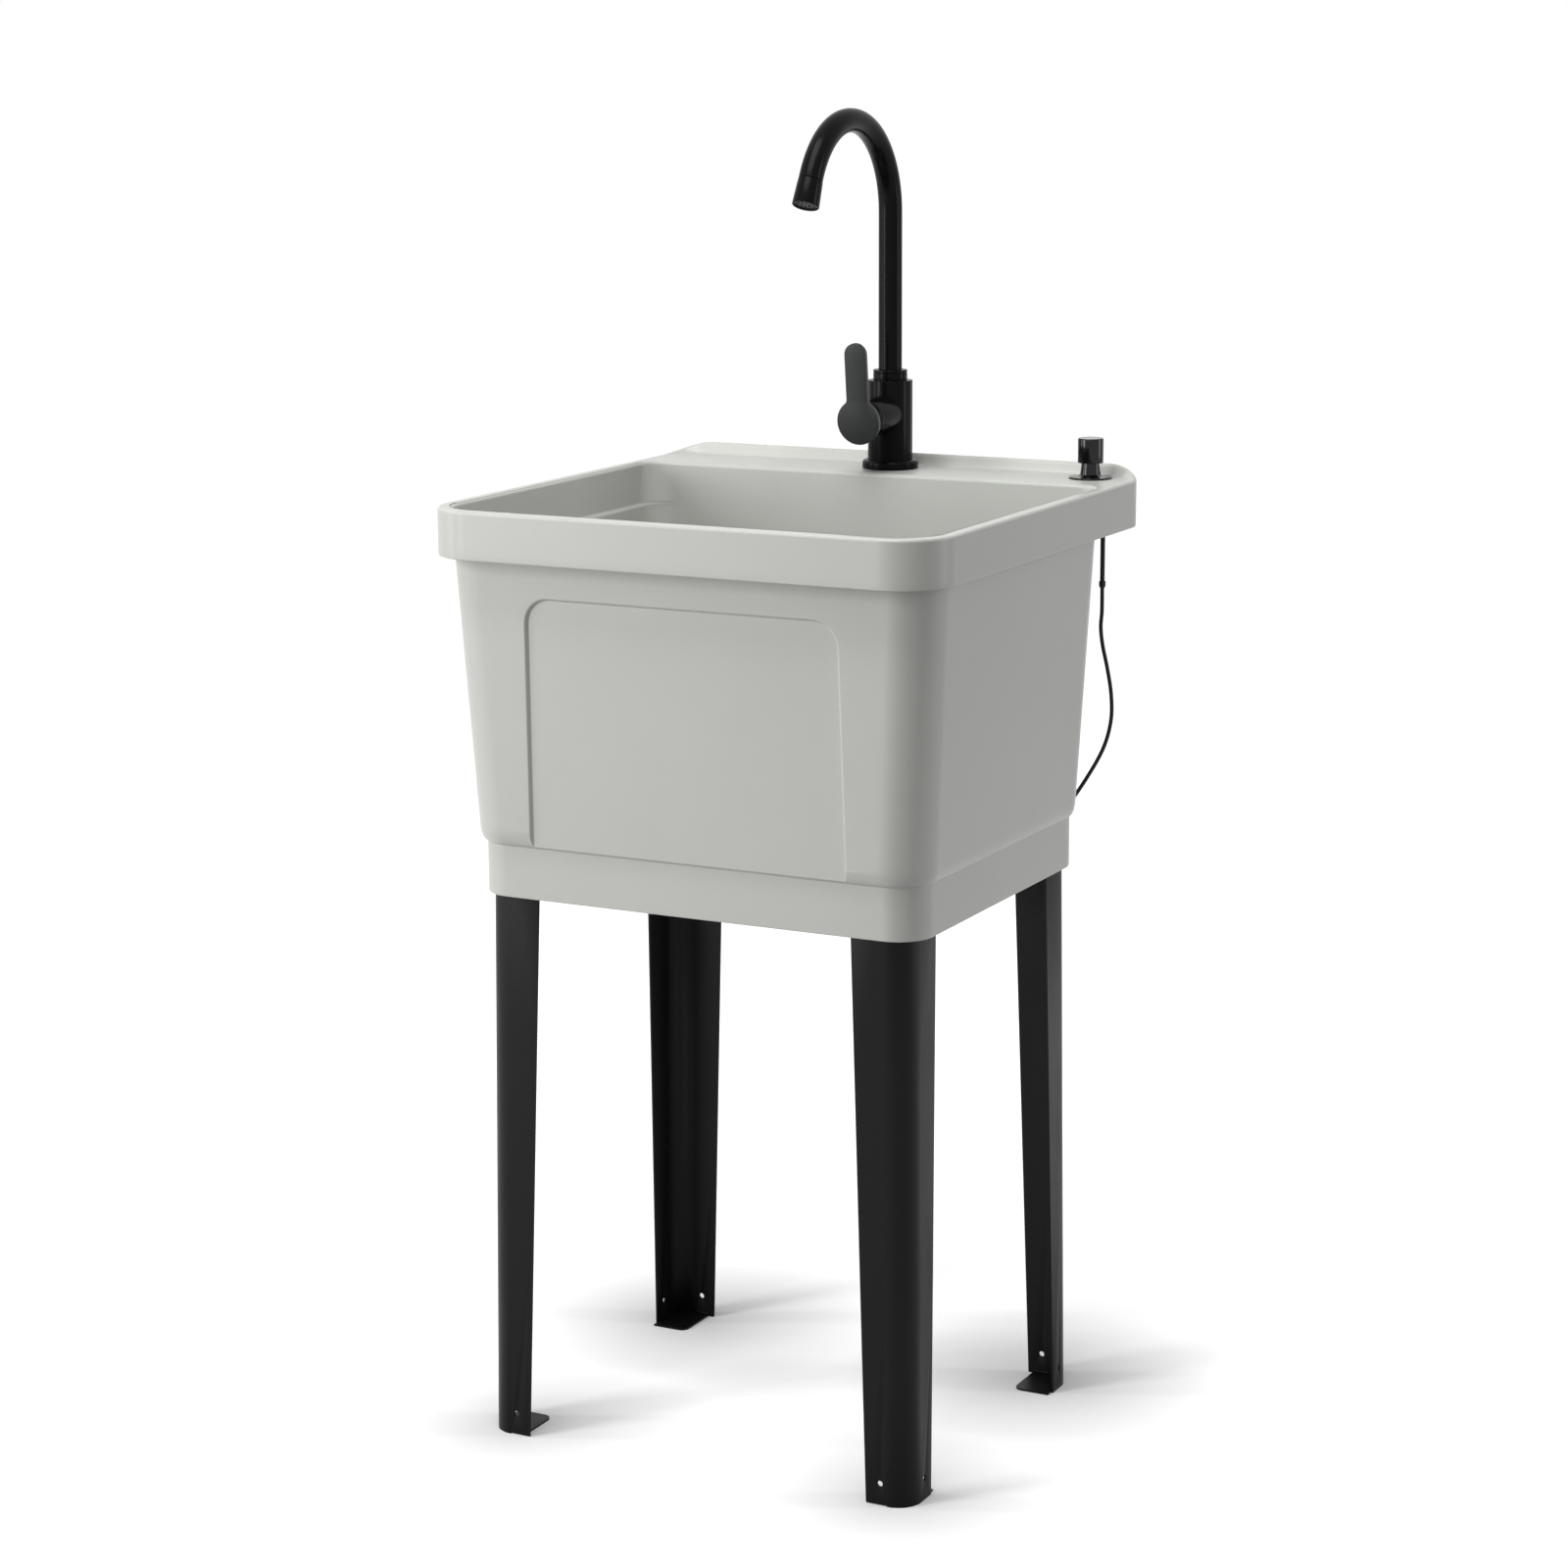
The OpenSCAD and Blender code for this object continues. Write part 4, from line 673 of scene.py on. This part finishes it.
def make_angle():
    """The folded sheet of a leg, in its own frame, longer than the leg at both ends."""
    rings = []
    for z in (-LEG_SPARE, *LEG_LEVELS, CEIL_Z + LEG_SPARE):
        w = FLANGE_LOW + FLANGE_GROWTH * z / SKIRT_Z
        ring = [(0, w)] + fold_arc(LEG_R) + [(w, 0), (w, LEG_T)]
        ring += fold_arc(LEG_R - LEG_T)[::-1] + [(LEG_T, w)]
        rings.append([at(x, y, z) for x, y in ring])
    angle = grow("leg angle", rings)
    for place in (lift(HOLE_IN, 0, HOLE_Z) @ turn(-90, "X"),
                  lift(0, HOLE_IN, HOLE_Z) @ turn(90, "Y")):
        carve(angle, peg("drill", HOLE_R, -SPARE, LEG_T + SPARE, place, HOLE_SIDES))
    carve(angle, bend_tool())
    return angle


def bend_tool():
    """The space outside the foot's bend, along the flange that the foot is turned from."""
    low = -2 * SPARE
    ring = [(-LEG_SPARE, low), (FOOT_BEND, low)]
    ring += [(FOOT_BEND - FOOT_BEND * math.sin(a), FOOT_BEND - FOOT_BEND * math.cos(a))
             for a in quarter(BEND_STEPS)]
    ring.append((-LEG_SPARE, FOOT_BEND))
    return grow("bend space", [[at(x, y, z) for y, z in ring] for x in (LEG_R, FLANGE_END)])


def make_foot():
    """The foot turned inwards at the bottom of a leg, with its bend."""
    stations = [(FOOT_BEND - FOOT_BEND * math.cos(a), FOOT_BEND - FOOT_BEND * math.sin(a),
                 math.cos(a), math.sin(a), FOOT_W) for a in quarter(BEND_STEPS)]
    stations += [(y, 0.0, 0.0, 1.0, FOOT_W) for y in FOOT_STATIONS]
    stations += [(FOOT_LONG + FOOT_CORNER * math.sin(a), 0.0, 0.0, 1.0,
                  FOOT_W - FOOT_CORNER + FOOT_CORNER * math.cos(a))
                 for a in quarter(FOOT_CORNER_STEPS, first=1)]
    middle = LEG_T / 2
    rings = []
    for y, z, up_y, up_z, x1 in stations:
        top_y, top_z = y + LEG_T * up_y, z + LEG_T * up_z
        x0 = LEG_T
        if y < LEG_R:
            x0 = max(x0, LEG_R - math.sqrt((LEG_R - middle) ** 2
                                           - (LEG_R - max(y, middle)) ** 2))
        rings.append([at(x0, y, z), at(x1, y, z), at(x1, top_y, top_z), at(x0, top_y, top_z)])
    return grow("foot plate", rings)


def placed_copy(source, place):
    copy = source.copy()
    copy.data = source.data.copy()
    bpy.context.collection.objects.link(copy)
    copy.data.transform(place)
    return copy


def trim_leg(leg):
    """Cuts a leg level at the floor and under the tub's ceiling."""
    pick(leg)
    bpy.ops.object.mode_set(mode="EDIT")
    for height, below in ((0.0, True), (LEG_TOP * MM, False)):
        bpy.ops.mesh.select_all(action="SELECT")
        bpy.ops.mesh.bisect(plane_co=(0, 0, height), plane_no=(0, 0, 1), use_fill=True,
                            clear_inner=below, clear_outer=not below)
    bpy.ops.object.mode_set(mode="OBJECT")
    face_outwards(leg)


def make_leg(name, angle, foot, side, end):
    leg = placed_copy(angle, leg_place(side, end))
    sole = placed_copy(foot, leg_place(side, end, upright=True))
    trim_leg(leg)
    face_outwards(sole)
    leg.select_set(True)
    bpy.context.view_layer.objects.active = leg
    bpy.ops.object.join()
    leg.name = leg.data.name = "leg_sheet_" + name
    soften(leg, LEG_EDGE)
    settle(leg, "stand", "leg_coat", "leg_" + name)


def make_leg_pad(name, side, end):
    """The pad inside the skirt that a leg's side flange is screwed to."""
    bpy.ops.mesh.primitive_cube_add(size=1)
    pad = bpy.context.object
    pad.name = pad.data.name = "leg_pad_" + name
    pad.data.transform(leg_place(side, end) @ lift(*PAD_AT)
                       @ Matrix.Diagonal((PAD_T * MM, PAD_W * MM, PAD_H * MM, 1)))
    face_outwards(pad)
    soften(pad, PAD_EDGE)
    settle(pad, "stand", "tub_plastic")


def make_legs():
    angle, foot = make_angle(), make_foot()
    for name, side, end in (("front_left", -1, -1), ("front_right", 1, -1),
                            ("rear_left", -1, 1), ("rear_right", 1, 1)):
        make_leg(name, angle, foot, side, end)
        make_leg_pad(name, side, end)
    for used in (angle, foot):
        bpy.data.objects.remove(used, do_unlink=True)


make_legs()


# Tap, from the deck up about its own axis

TAP = lift(0, TAP_Y, RIM_Z)
COLUMN_R, COLUMN_TOP, RECESS_R = 21.5, 84.9, 16.4
BRANCH_R, BRANCH_END = 18, 49.9
FLANGE_R, FLANGE_H = 26.9, 8.5
COLLAR_R, COLLAR_IN_R, COLLAR_TOP, GROOVE = 16.45, 11.35, 94.9, 0.5
DOME_R, DOME_START, DOME_STEP, DOME_RINGS = 19.5, 7.6, 0.7, 12
BEND_R, BEND_Z, SWEEP, TUBE_R = 88.5, 244.3, 155.5, 11.3
TUBE_LEVELS, TUBE_EDGE = (36, 120, 180), 0.4
TUBE_SIDES, SWEEP_STEPS = 64, 60
HANDLE_Z, PIVOT_S, REACH, LEVER_T = 53.0, 49.0, 72.0, 6.0
LEVER_LEAN = 6  # degrees


def forwards(s):
    """A frame whose Z axis points forwards from the tap's axis, at distance s."""
    return TAP @ lift(0, -s, HANDLE_Z) @ turn(90, "X")


def leaning():
    """The lever's lean about the handle's pivot."""
    pivot = lift(0, TAP_Y - PIVOT_S, RIM_Z + HANDLE_Z)
    return pivot @ turn(LEVER_LEAN, "X") @ pivot.inverted()


def make_tap_column():
    foot_z, recess_z = 1.5, 83.9
    body = turned("tap_column", ((0, foot_z, 0), (COLUMN_R, foot_z, 0),
                                 (COLUMN_R, COLUMN_TOP, 0.7), (RECESS_R, COLUMN_TOP, 0.3),
                                 (RECESS_R, recess_z, 0), (0, recess_z, 0)), TAP, sides=SIDES_WIDE)
    branch = turned("branch", ((0, 0, 0), (BRANCH_R, 0, 0), (BRANCH_R, BRANCH_END, 0.25),
                               (0, BRANCH_END, 0)), forwards(0), sides=SIDES_MIDDLE)
    carve(body, branch, "UNION")
    smooth(body, SMOOTH_LESS)
    settle(body, "stand", "tap_black", "tap_body")


def make_tap_foot():
    flange = turned("tap_foot_ring", ((COLUMN_R, 0, 0), (FLANGE_R - 0.8, 0, 0.6),
                                      (FLANGE_R, 1.0, 0.8), (FLANGE_R, FLANGE_H, 3.4),
                                      (COLUMN_R + 0.8, FLANGE_H, 0.5),
                                      (COLUMN_R, FLANGE_H - 0.9, 0)), TAP, sides=SIDES_WIDE, steps=7)
    settle(flange, "stand", "tap_black", "tap_base_flange")


def make_spout_collar():
    """The ring round the spout's foot, with a groove in its side."""
    groove_r = COLLAR_R - GROOVE
    collar = turned("spout_ring", ((COLLAR_IN_R, 84.9, 0), (15.7, 84.9, 0), (15.7, 85.5, 0),
                                   (COLLAR_R, 85.8, 0.3), (COLLAR_R, 91.6, 0.2),
                                   (groove_r, 91.9, 0), (groove_r, 92.2, 0),
                                   (COLLAR_R, 92.5, 0.2), (COLLAR_R, COLLAR_TOP, 0.9),
                                   (11.9, COLLAR_TOP, 0.3), (COLLAR_IN_R, 94.3, 0)),
                    TAP, sides=SIDES_MIDDLE)
    settle(collar, "stand", "tap_black", "spout_collar")


def make_bonnet():
    """The dome over the handle's ball, round about the handle's pivot."""
    dome = [(math.sqrt(DOME_R ** 2 - a * a), PIVOT_S + a, 0)
            for a in (DOME_START + DOME_STEP * k for k in range(DOME_RINGS))]
    mouth_r, mouth_z, floor_z = 11.5, 64.6, 57.8
    bonnet = turned("handle_dome", ((BRANCH_R, 50.1, 0), (BRANCH_R, 56.5, 0), *dome,
                                    (mouth_r, mouth_z, 0), (mouth_r, floor_z, 0),
                                    (0, floor_z, 0)), forwards(0), sides=SIDES_MIDDLE)
    settle(bonnet, "stand", "tap_black", "handle_bonnet")


def make_spout():
    """The bent tube and the nozzle sleeve at its end."""
    centre, arm = TAP @ lift(0, -BEND_R, BEND_Z), lift(0, BEND_R, 0)
    places = [TAP @ lift(0, 0, z) for z in (*TUBE_LEVELS, BEND_Z)]
    places += [centre @ turn(SWEEP * k / SWEEP_STEPS, "X") @ arm for k in range(1, SWEEP_STEPS)]
    end = centre @ turn(SWEEP, "X") @ arm
    places.append(end @ lift(0, 0, -0.5))
    rings = [circle(place, TUBE_R, 0, TUBE_SIDES) for place in places]
    rings.append(circle(end, TUBE_R - TUBE_EDGE, 0, TUBE_SIDES))
    settle(grow("spout_pipe", rings), "spout", "tap_black", "spout_tube")

    nozzle_r, nozzle_end, bore_z = 12.7, 25, 17
    nozzle = turned("nozzle_shell", ((0, -1.5, 0), (10.2, -1.5, 0), (10.2, 0.5, 0),
                                     (11.6, 0.7, 0.3), (nozzle_r, nozzle_end, 0.7),
                                     (11.3, nozzle_end, 0.3), (11.1, bore_z, 0),
                                     (0, bore_z, 0)), end, sides=SIDES_SLIM)
    settle(nozzle, "spout", "tap_black", "nozzle_sleeve")


# Handle

HUB_R, BLADE_HALF, BLEND_R, BLADE_TOP = 21.75, 11.0, 5.0, 75.3
HUB_STEPS, BLEND_STEPS, SIDE_STEPS, TIP_STEPS = 52, 8, 6, 24


def lever_outline():
    """The handle's outline: round hub, straight lever with a round end, blended corners."""
    blend_x = BLADE_HALF + BLEND_R
    blend_z = math.sqrt((HUB_R + BLEND_R) ** 2 - blend_x ** 2)
    start = math.atan2(blend_z, blend_x)
    tip_z = BLADE_TOP - BLADE_HALF
    hub = []
    for k in range(HUB_STEPS + 1):
        a = start - (math.pi + 2 * start) * k / HUB_STEPS
        hub.append((HUB_R * math.cos(a), HUB_R * math.sin(a)))
    left = []
    for k in range(1, BLEND_STEPS + 1):
        a = -start * (1 - k / BLEND_STEPS)
        left.append((-blend_x + BLEND_R * math.cos(a), blend_z + BLEND_R * math.sin(a)))
    for k in range(1, SIDE_STEPS):
        left.append((-BLADE_HALF, blend_z + (tip_z - blend_z) * k / SIDE_STEPS))
    tip = []
    for k in range(TIP_STEPS + 1):
        a = math.pi - math.pi * k / TIP_STEPS
        tip.append((BLADE_HALF * math.cos(a), tip_z + BLADE_HALF * math.sin(a)))
    right = [(-x, z) for x, z in reversed(left)]
    return [Vector(point) for point in hub + left + tip + right]


def outward_normals(outline):
    n = len(outline)
    normals = []
    for i in range(n):
        run = (outline[(i + 1) % n] - outline[i - 1]).normalized()
        normals.append(Vector((-run.y, run.x)))
    middle = sum(outline, Vector((0, 0))) / n
    if sum((p - middle).dot(v) for p, v in zip(outline, normals)) < 0:
        normals = [-v for v in normals]
    return normals


def make_lever():
    """The handle: a raised disc on its rear face, and a rounded edge round its front face."""
    outline = lever_outline()
    normals = outward_normals(outline)
    back, crown, edge = REACH - LEVER_T, 1.1, 0.9

    def shell(inset, s):
        return [Vector((p.x - v.x * inset, -s, HANDLE_Z + p.y - v.y * inset))
                for p, v in zip(outline, normals)]

    def disc(r, s):
        return [Vector((p.x, -s, HANDLE_Z + p.y)) for p in (q.normalized() * r for q in outline)]

    rings = [disc(r, back + s) for r, s in ((5, 1.7), (5, 3.2), (17.6, 3.2), (18.2, 2.9),
                                            (18.5, 2.2), (18.5, 0.4), (18.9, 0))]
    rings += [shell(edge, back), shell(0.27, back + 0.27), shell(0, back + edge)]
    rings += [shell(crown * (1 - math.cos(math.radians(a))),
                    REACH - crown * (1 - math.sin(math.radians(a)))) for a in (0, 22, 45, 68, 90)]
    to_row = leaning() @ TAP
    lever = grow("handle_blade", [[to_row @ (p * MM) for p in ring] for ring in rings])
    settle(lever, "handle", "handle_black", "handle_lever")


make_tap_column()
make_tap_foot()
make_spout_collar()
make_bonnet()
make_spout()
make_lever()


# Waste knob, from the deck up about its own axis

KNOB = lift(KNOB_X, KNOB_Y, RIM_Z)
NECK_FOOT_R, NECK_FOOT_Z = 9.8, 3.8
CAP_R, CAP_FOOT, CAP_TOP, CAP_SUNK = 12.2, 14.8, 38, 37.82
ROSE_R, ROSE_UNDER = 20.5, 0.8


def make_rosette():
    rosette = turned("knob_rose", ((KNOB_HOLE_R, ROSE_UNDER, 0), (16.2, ROSE_UNDER, 0),
                                   (16.2, 0, 0), (ROSE_R - 0.5, 0, 0.2), (ROSE_R, 0.5, 0.3),
                                   (ROSE_R, 1.2, 0.4), (19.6, 1.85, 0.5), (14.6, 2.05, 3.0),
                                   (11.4, 2.7, 2.0), (NECK_FOOT_R, NECK_FOOT_Z, 0),
                                   (KNOB_HOLE_R, NECK_FOOT_Z, 0)), KNOB, sides=SIDES_MIDDLE)
    settle(rosette, "stand", "knob_black", "knob_rosette")


def make_neck():
    """The waisted neck, with the shank that goes through the deck."""
    shank_r, shank_end, neck_top = 6, -24, 14.5
    neck = turned("knob_stem", ((0, shank_end, 0), (shank_r, shank_end, 0),
                                (shank_r, NECK_FOOT_Z, 0), (NECK_FOOT_R, NECK_FOOT_Z, 0),
                                (9.1, 8.5, 12.0), (8.5, neck_top, 0), (0, neck_top, 0)),
                  KNOB, sides=SIDES_SLIM)
    settle(neck, "stand", "knob_black", "knob_neck")


def make_cap():
    """The cap that is turned, with a shallow dish in its top."""
    cap = turned("knob_head", ((0, CAP_FOOT, 0), (CAP_R, CAP_FOOT, 0.7), (CAP_R, CAP_TOP, 1.1),
                               (10.4, CAP_TOP, 1.5), (9.6, CAP_SUNK, 1.5), (0, CAP_SUNK, 0)),
                 KNOB, sides=SIDES_SLIM, steps=5)
    settle(cap, "knob", "knob_black", "knob_cap")


make_rosette()
make_neck()
make_cap()


# Waste cable, on the source's route, whose ends are at the two end fittings

ROUTE = ((220, 211, 772), (220, 211, 750), (219.5, 210, 735), (222, 209, 718),
         (228, 207, 696), (233, 205, 672), (234, 203, 648), (228, 201, 622),
         (214, 198, 594), (194, 193, 562), (172, 185, 532), (148, 168, 506),
         (124, 140, 493), (104, 104, 491), (84, 67, 486.5), (67, 36, 477.5),
         (60, 9, 468.7), (56.5, -8, 468), (55, -17.5, 472), (55, -24, 479.5), (55, -27, 486))
ROUTE_STEPS = 8
CABLE_R, CABLE_SIDES = 1.9, 20
CABLE_SIDEWAYS = (0.82, -0.57, 0)  # no stretch of the route runs this way
CABLE_SMOOTH = 60


def cable_line():
    """A smooth curve through the route's points."""
    points = [Vector(p) * MM for p in ROUTE]
    line = []
    for i in range(len(points) - 1):
        a, b = points[max(i - 1, 0)], points[i]
        c, d = points[i + 1], points[min(i + 2, len(points) - 1)]
        for k in range(ROUTE_STEPS):
            t = k / ROUTE_STEPS
            line.append((2 * b + (c - a) * t + (2 * a - 5 * b + 4 * c - d) * t * t
                         + (3 * b - a - 3 * c + d) * t * t * t) / 2)
    return line + [points[-1]]


def make_cable():
    line = cable_line()
    side = Vector(CABLE_SIDEWAYS).normalized()
    rings = []
    for i, point in enumerate(line):
        if i in (0, len(line) - 1):
            run = Vector((0, 0, -1 if i == 0 else 1))
        else:
            run = (line[i + 1] - line[i - 1]).normalized()
        across = run.cross(side).normalized()
        over = run.cross(across)
        rings.append([point + (across * math.cos(math.tau * k / CABLE_SIDES)
                               + over * math.sin(math.tau * k / CABLE_SIDES)) * CABLE_R * MM
                      for k in range(CABLE_SIDES)])
    cable = grow("waste_cable", rings, CABLE_SMOOTH)
    settle(cable, "stand", "black_plastic", "drain_cable")


make_cable()


# Waste flange

def make_waste_rim():
    """The waste's crowned rim in its seat, and the pipe that goes down from it."""
    bore_r, pipe_r, rim_r, pipe_end, under = 20.5, 22.5, 35, -32, -1.2
    flange = turned("waste_rim", ((bore_r, pipe_end, 0), (bore_r, -2.2, 1.5), (22.7, 0, 1.0),
                                  (30.6, 1.1, 2.0), (33.6, 1.1, 0.7), (rim_r, 0, 0.4),
                                  (rim_r, under, 0.2), (pipe_r, under, 0.3),
                                  (pipe_r, pipe_end, 0)),
                    lift(0, DRAIN_Y, DRAIN_Z), sides=SIDES_MIDDLE)
    settle(flange, "stand", "waste_chrome", "drain_flange")


make_waste_rim()


# Floor, background and lamps, in metres and watts

FLOOR_SIZE = 60
FLOOR_DIM, FLOOR_PALE = 0.42, 0.93
WORLD_DIM, WORLD_WHITE = 0.235, 1.0
FOOT_HALF_X, FOOT_HALF_Y, FOOT_MID = 0.2, 0.172, -0.025  # where the feet stand
# The floor's glow, as distances from the nearest foot and the strengths there. The near part is
# painted light: weak by the feet, which leaves the floor round them a little darker, and strong
# between and beyond them, where it paints over the tub's shadow; the far part keeps the distant
# floor white
PAINTED_LIGHT_NEAR, GLOW_FAR = (0.02, 0.2, 0.12, 0.62), (0.4, 0.9, 0.0, 0.2)
# Name, place, width, height and power
LAMPS = (("key", (-2.1, -2.7, 1.45), 0.85, 2.4, 64),
         ("edge", (-2.85, -1.3, 1.35), 0.3, 2.2, 20),
         ("side", (3.2, 1.2, 1.35), 0.5, 2.2, 22),
         ("top", (0.0, -0.45, 2.3), 0.9, 0.9, 19))
AIM = (0, 0, 0.7)
WHITE = (1, 1, 1, 1)


def foot_distance(tree):
    """How far a point of the floor is from the nearest foot; the four quarters are alike."""
    place = add_node(tree, "TexCoord").outputs["Object"]
    centred = vector_maths(tree, "SUBTRACT", place, (0.0, FOOT_MID, 0.0))
    folded = vector_maths(tree, "ABSOLUTE", centred)
    return vector_maths(tree, "DISTANCE", folded, (FOOT_HALF_X, FOOT_HALF_Y, 0.0))


def pale_floor():
    """White where the camera or a mirror sees it, dimmer for the light that it throws back. Its glow
    is painted light: weak by the feet and strong between them, over the tub's shadow.
    """
    material = bpy.data.materials.new("pale floor")
    material.use_nodes = True
    tree = material.node_tree
    seen = seen_by(tree, "Is Camera Ray", "Is Glossy Ray")
    away = foot_distance(tree)
    # Painted light: a glow seen only by the camera and mirrors, weakest by the feet and strong
    # between them, where it paints over the tub's shadow
    glow = maths(tree, "ADD", spread(tree, away, *PAINTED_LIGHT_NEAR), spread(tree, away, *GLOW_FAR))
    shader = tree.nodes["Principled BSDF"]
    for label, value in (("Base Color", spread(tree, seen, 0, 1, FLOOR_DIM, FLOOR_PALE)),
                         ("Roughness", 0.9), ("Specular IOR Level", 0.0),
                         ("Emission Color", WHITE),
                         ("Emission Strength", maths(tree, "MULTIPLY", seen, glow))):
        feed(tree, shader.inputs[label], value)
    return material


def make_floor():
    bpy.ops.mesh.primitive_plane_add(size=FLOOR_SIZE, location=(0, 0, 0))
    floor = bpy.context.object
    floor.name = floor.data.name = "floor"
    floor.data.materials.append(pale_floor())


def make_world():
    world = bpy.data.worlds.new("studio")
    bpy.context.scene.world = world
    world.use_nodes = True
    tree = world.node_tree
    seen = seen_by(tree, "Is Camera Ray", "Is Glossy Ray", "Is Transmission Ray")
    back = tree.nodes["Background"]
    feed(tree, back.inputs["Color"], WHITE)
    feed(tree, back.inputs["Strength"], spread(tree, seen, 0, 1, WORLD_DIM, WORLD_WHITE))


def make_lamps():
    for name, spot, width, height, power in LAMPS:
        bpy.ops.object.light_add(type="AREA", location=spot)
        lamp = bpy.context.object
        lamp.name = name
        lamp.data.shape = "RECTANGLE"
        lamp.data.size, lamp.data.size_y = width, height
        lamp.data.energy = power
        aim = Vector(AIM) - Vector(spot)
        lamp.rotation_euler = aim.to_track_quat("-Z", "Y").to_euler()


make_floor()
make_world()
make_lamps()
bpy.context.scene.view_settings.view_transform = "Standard"
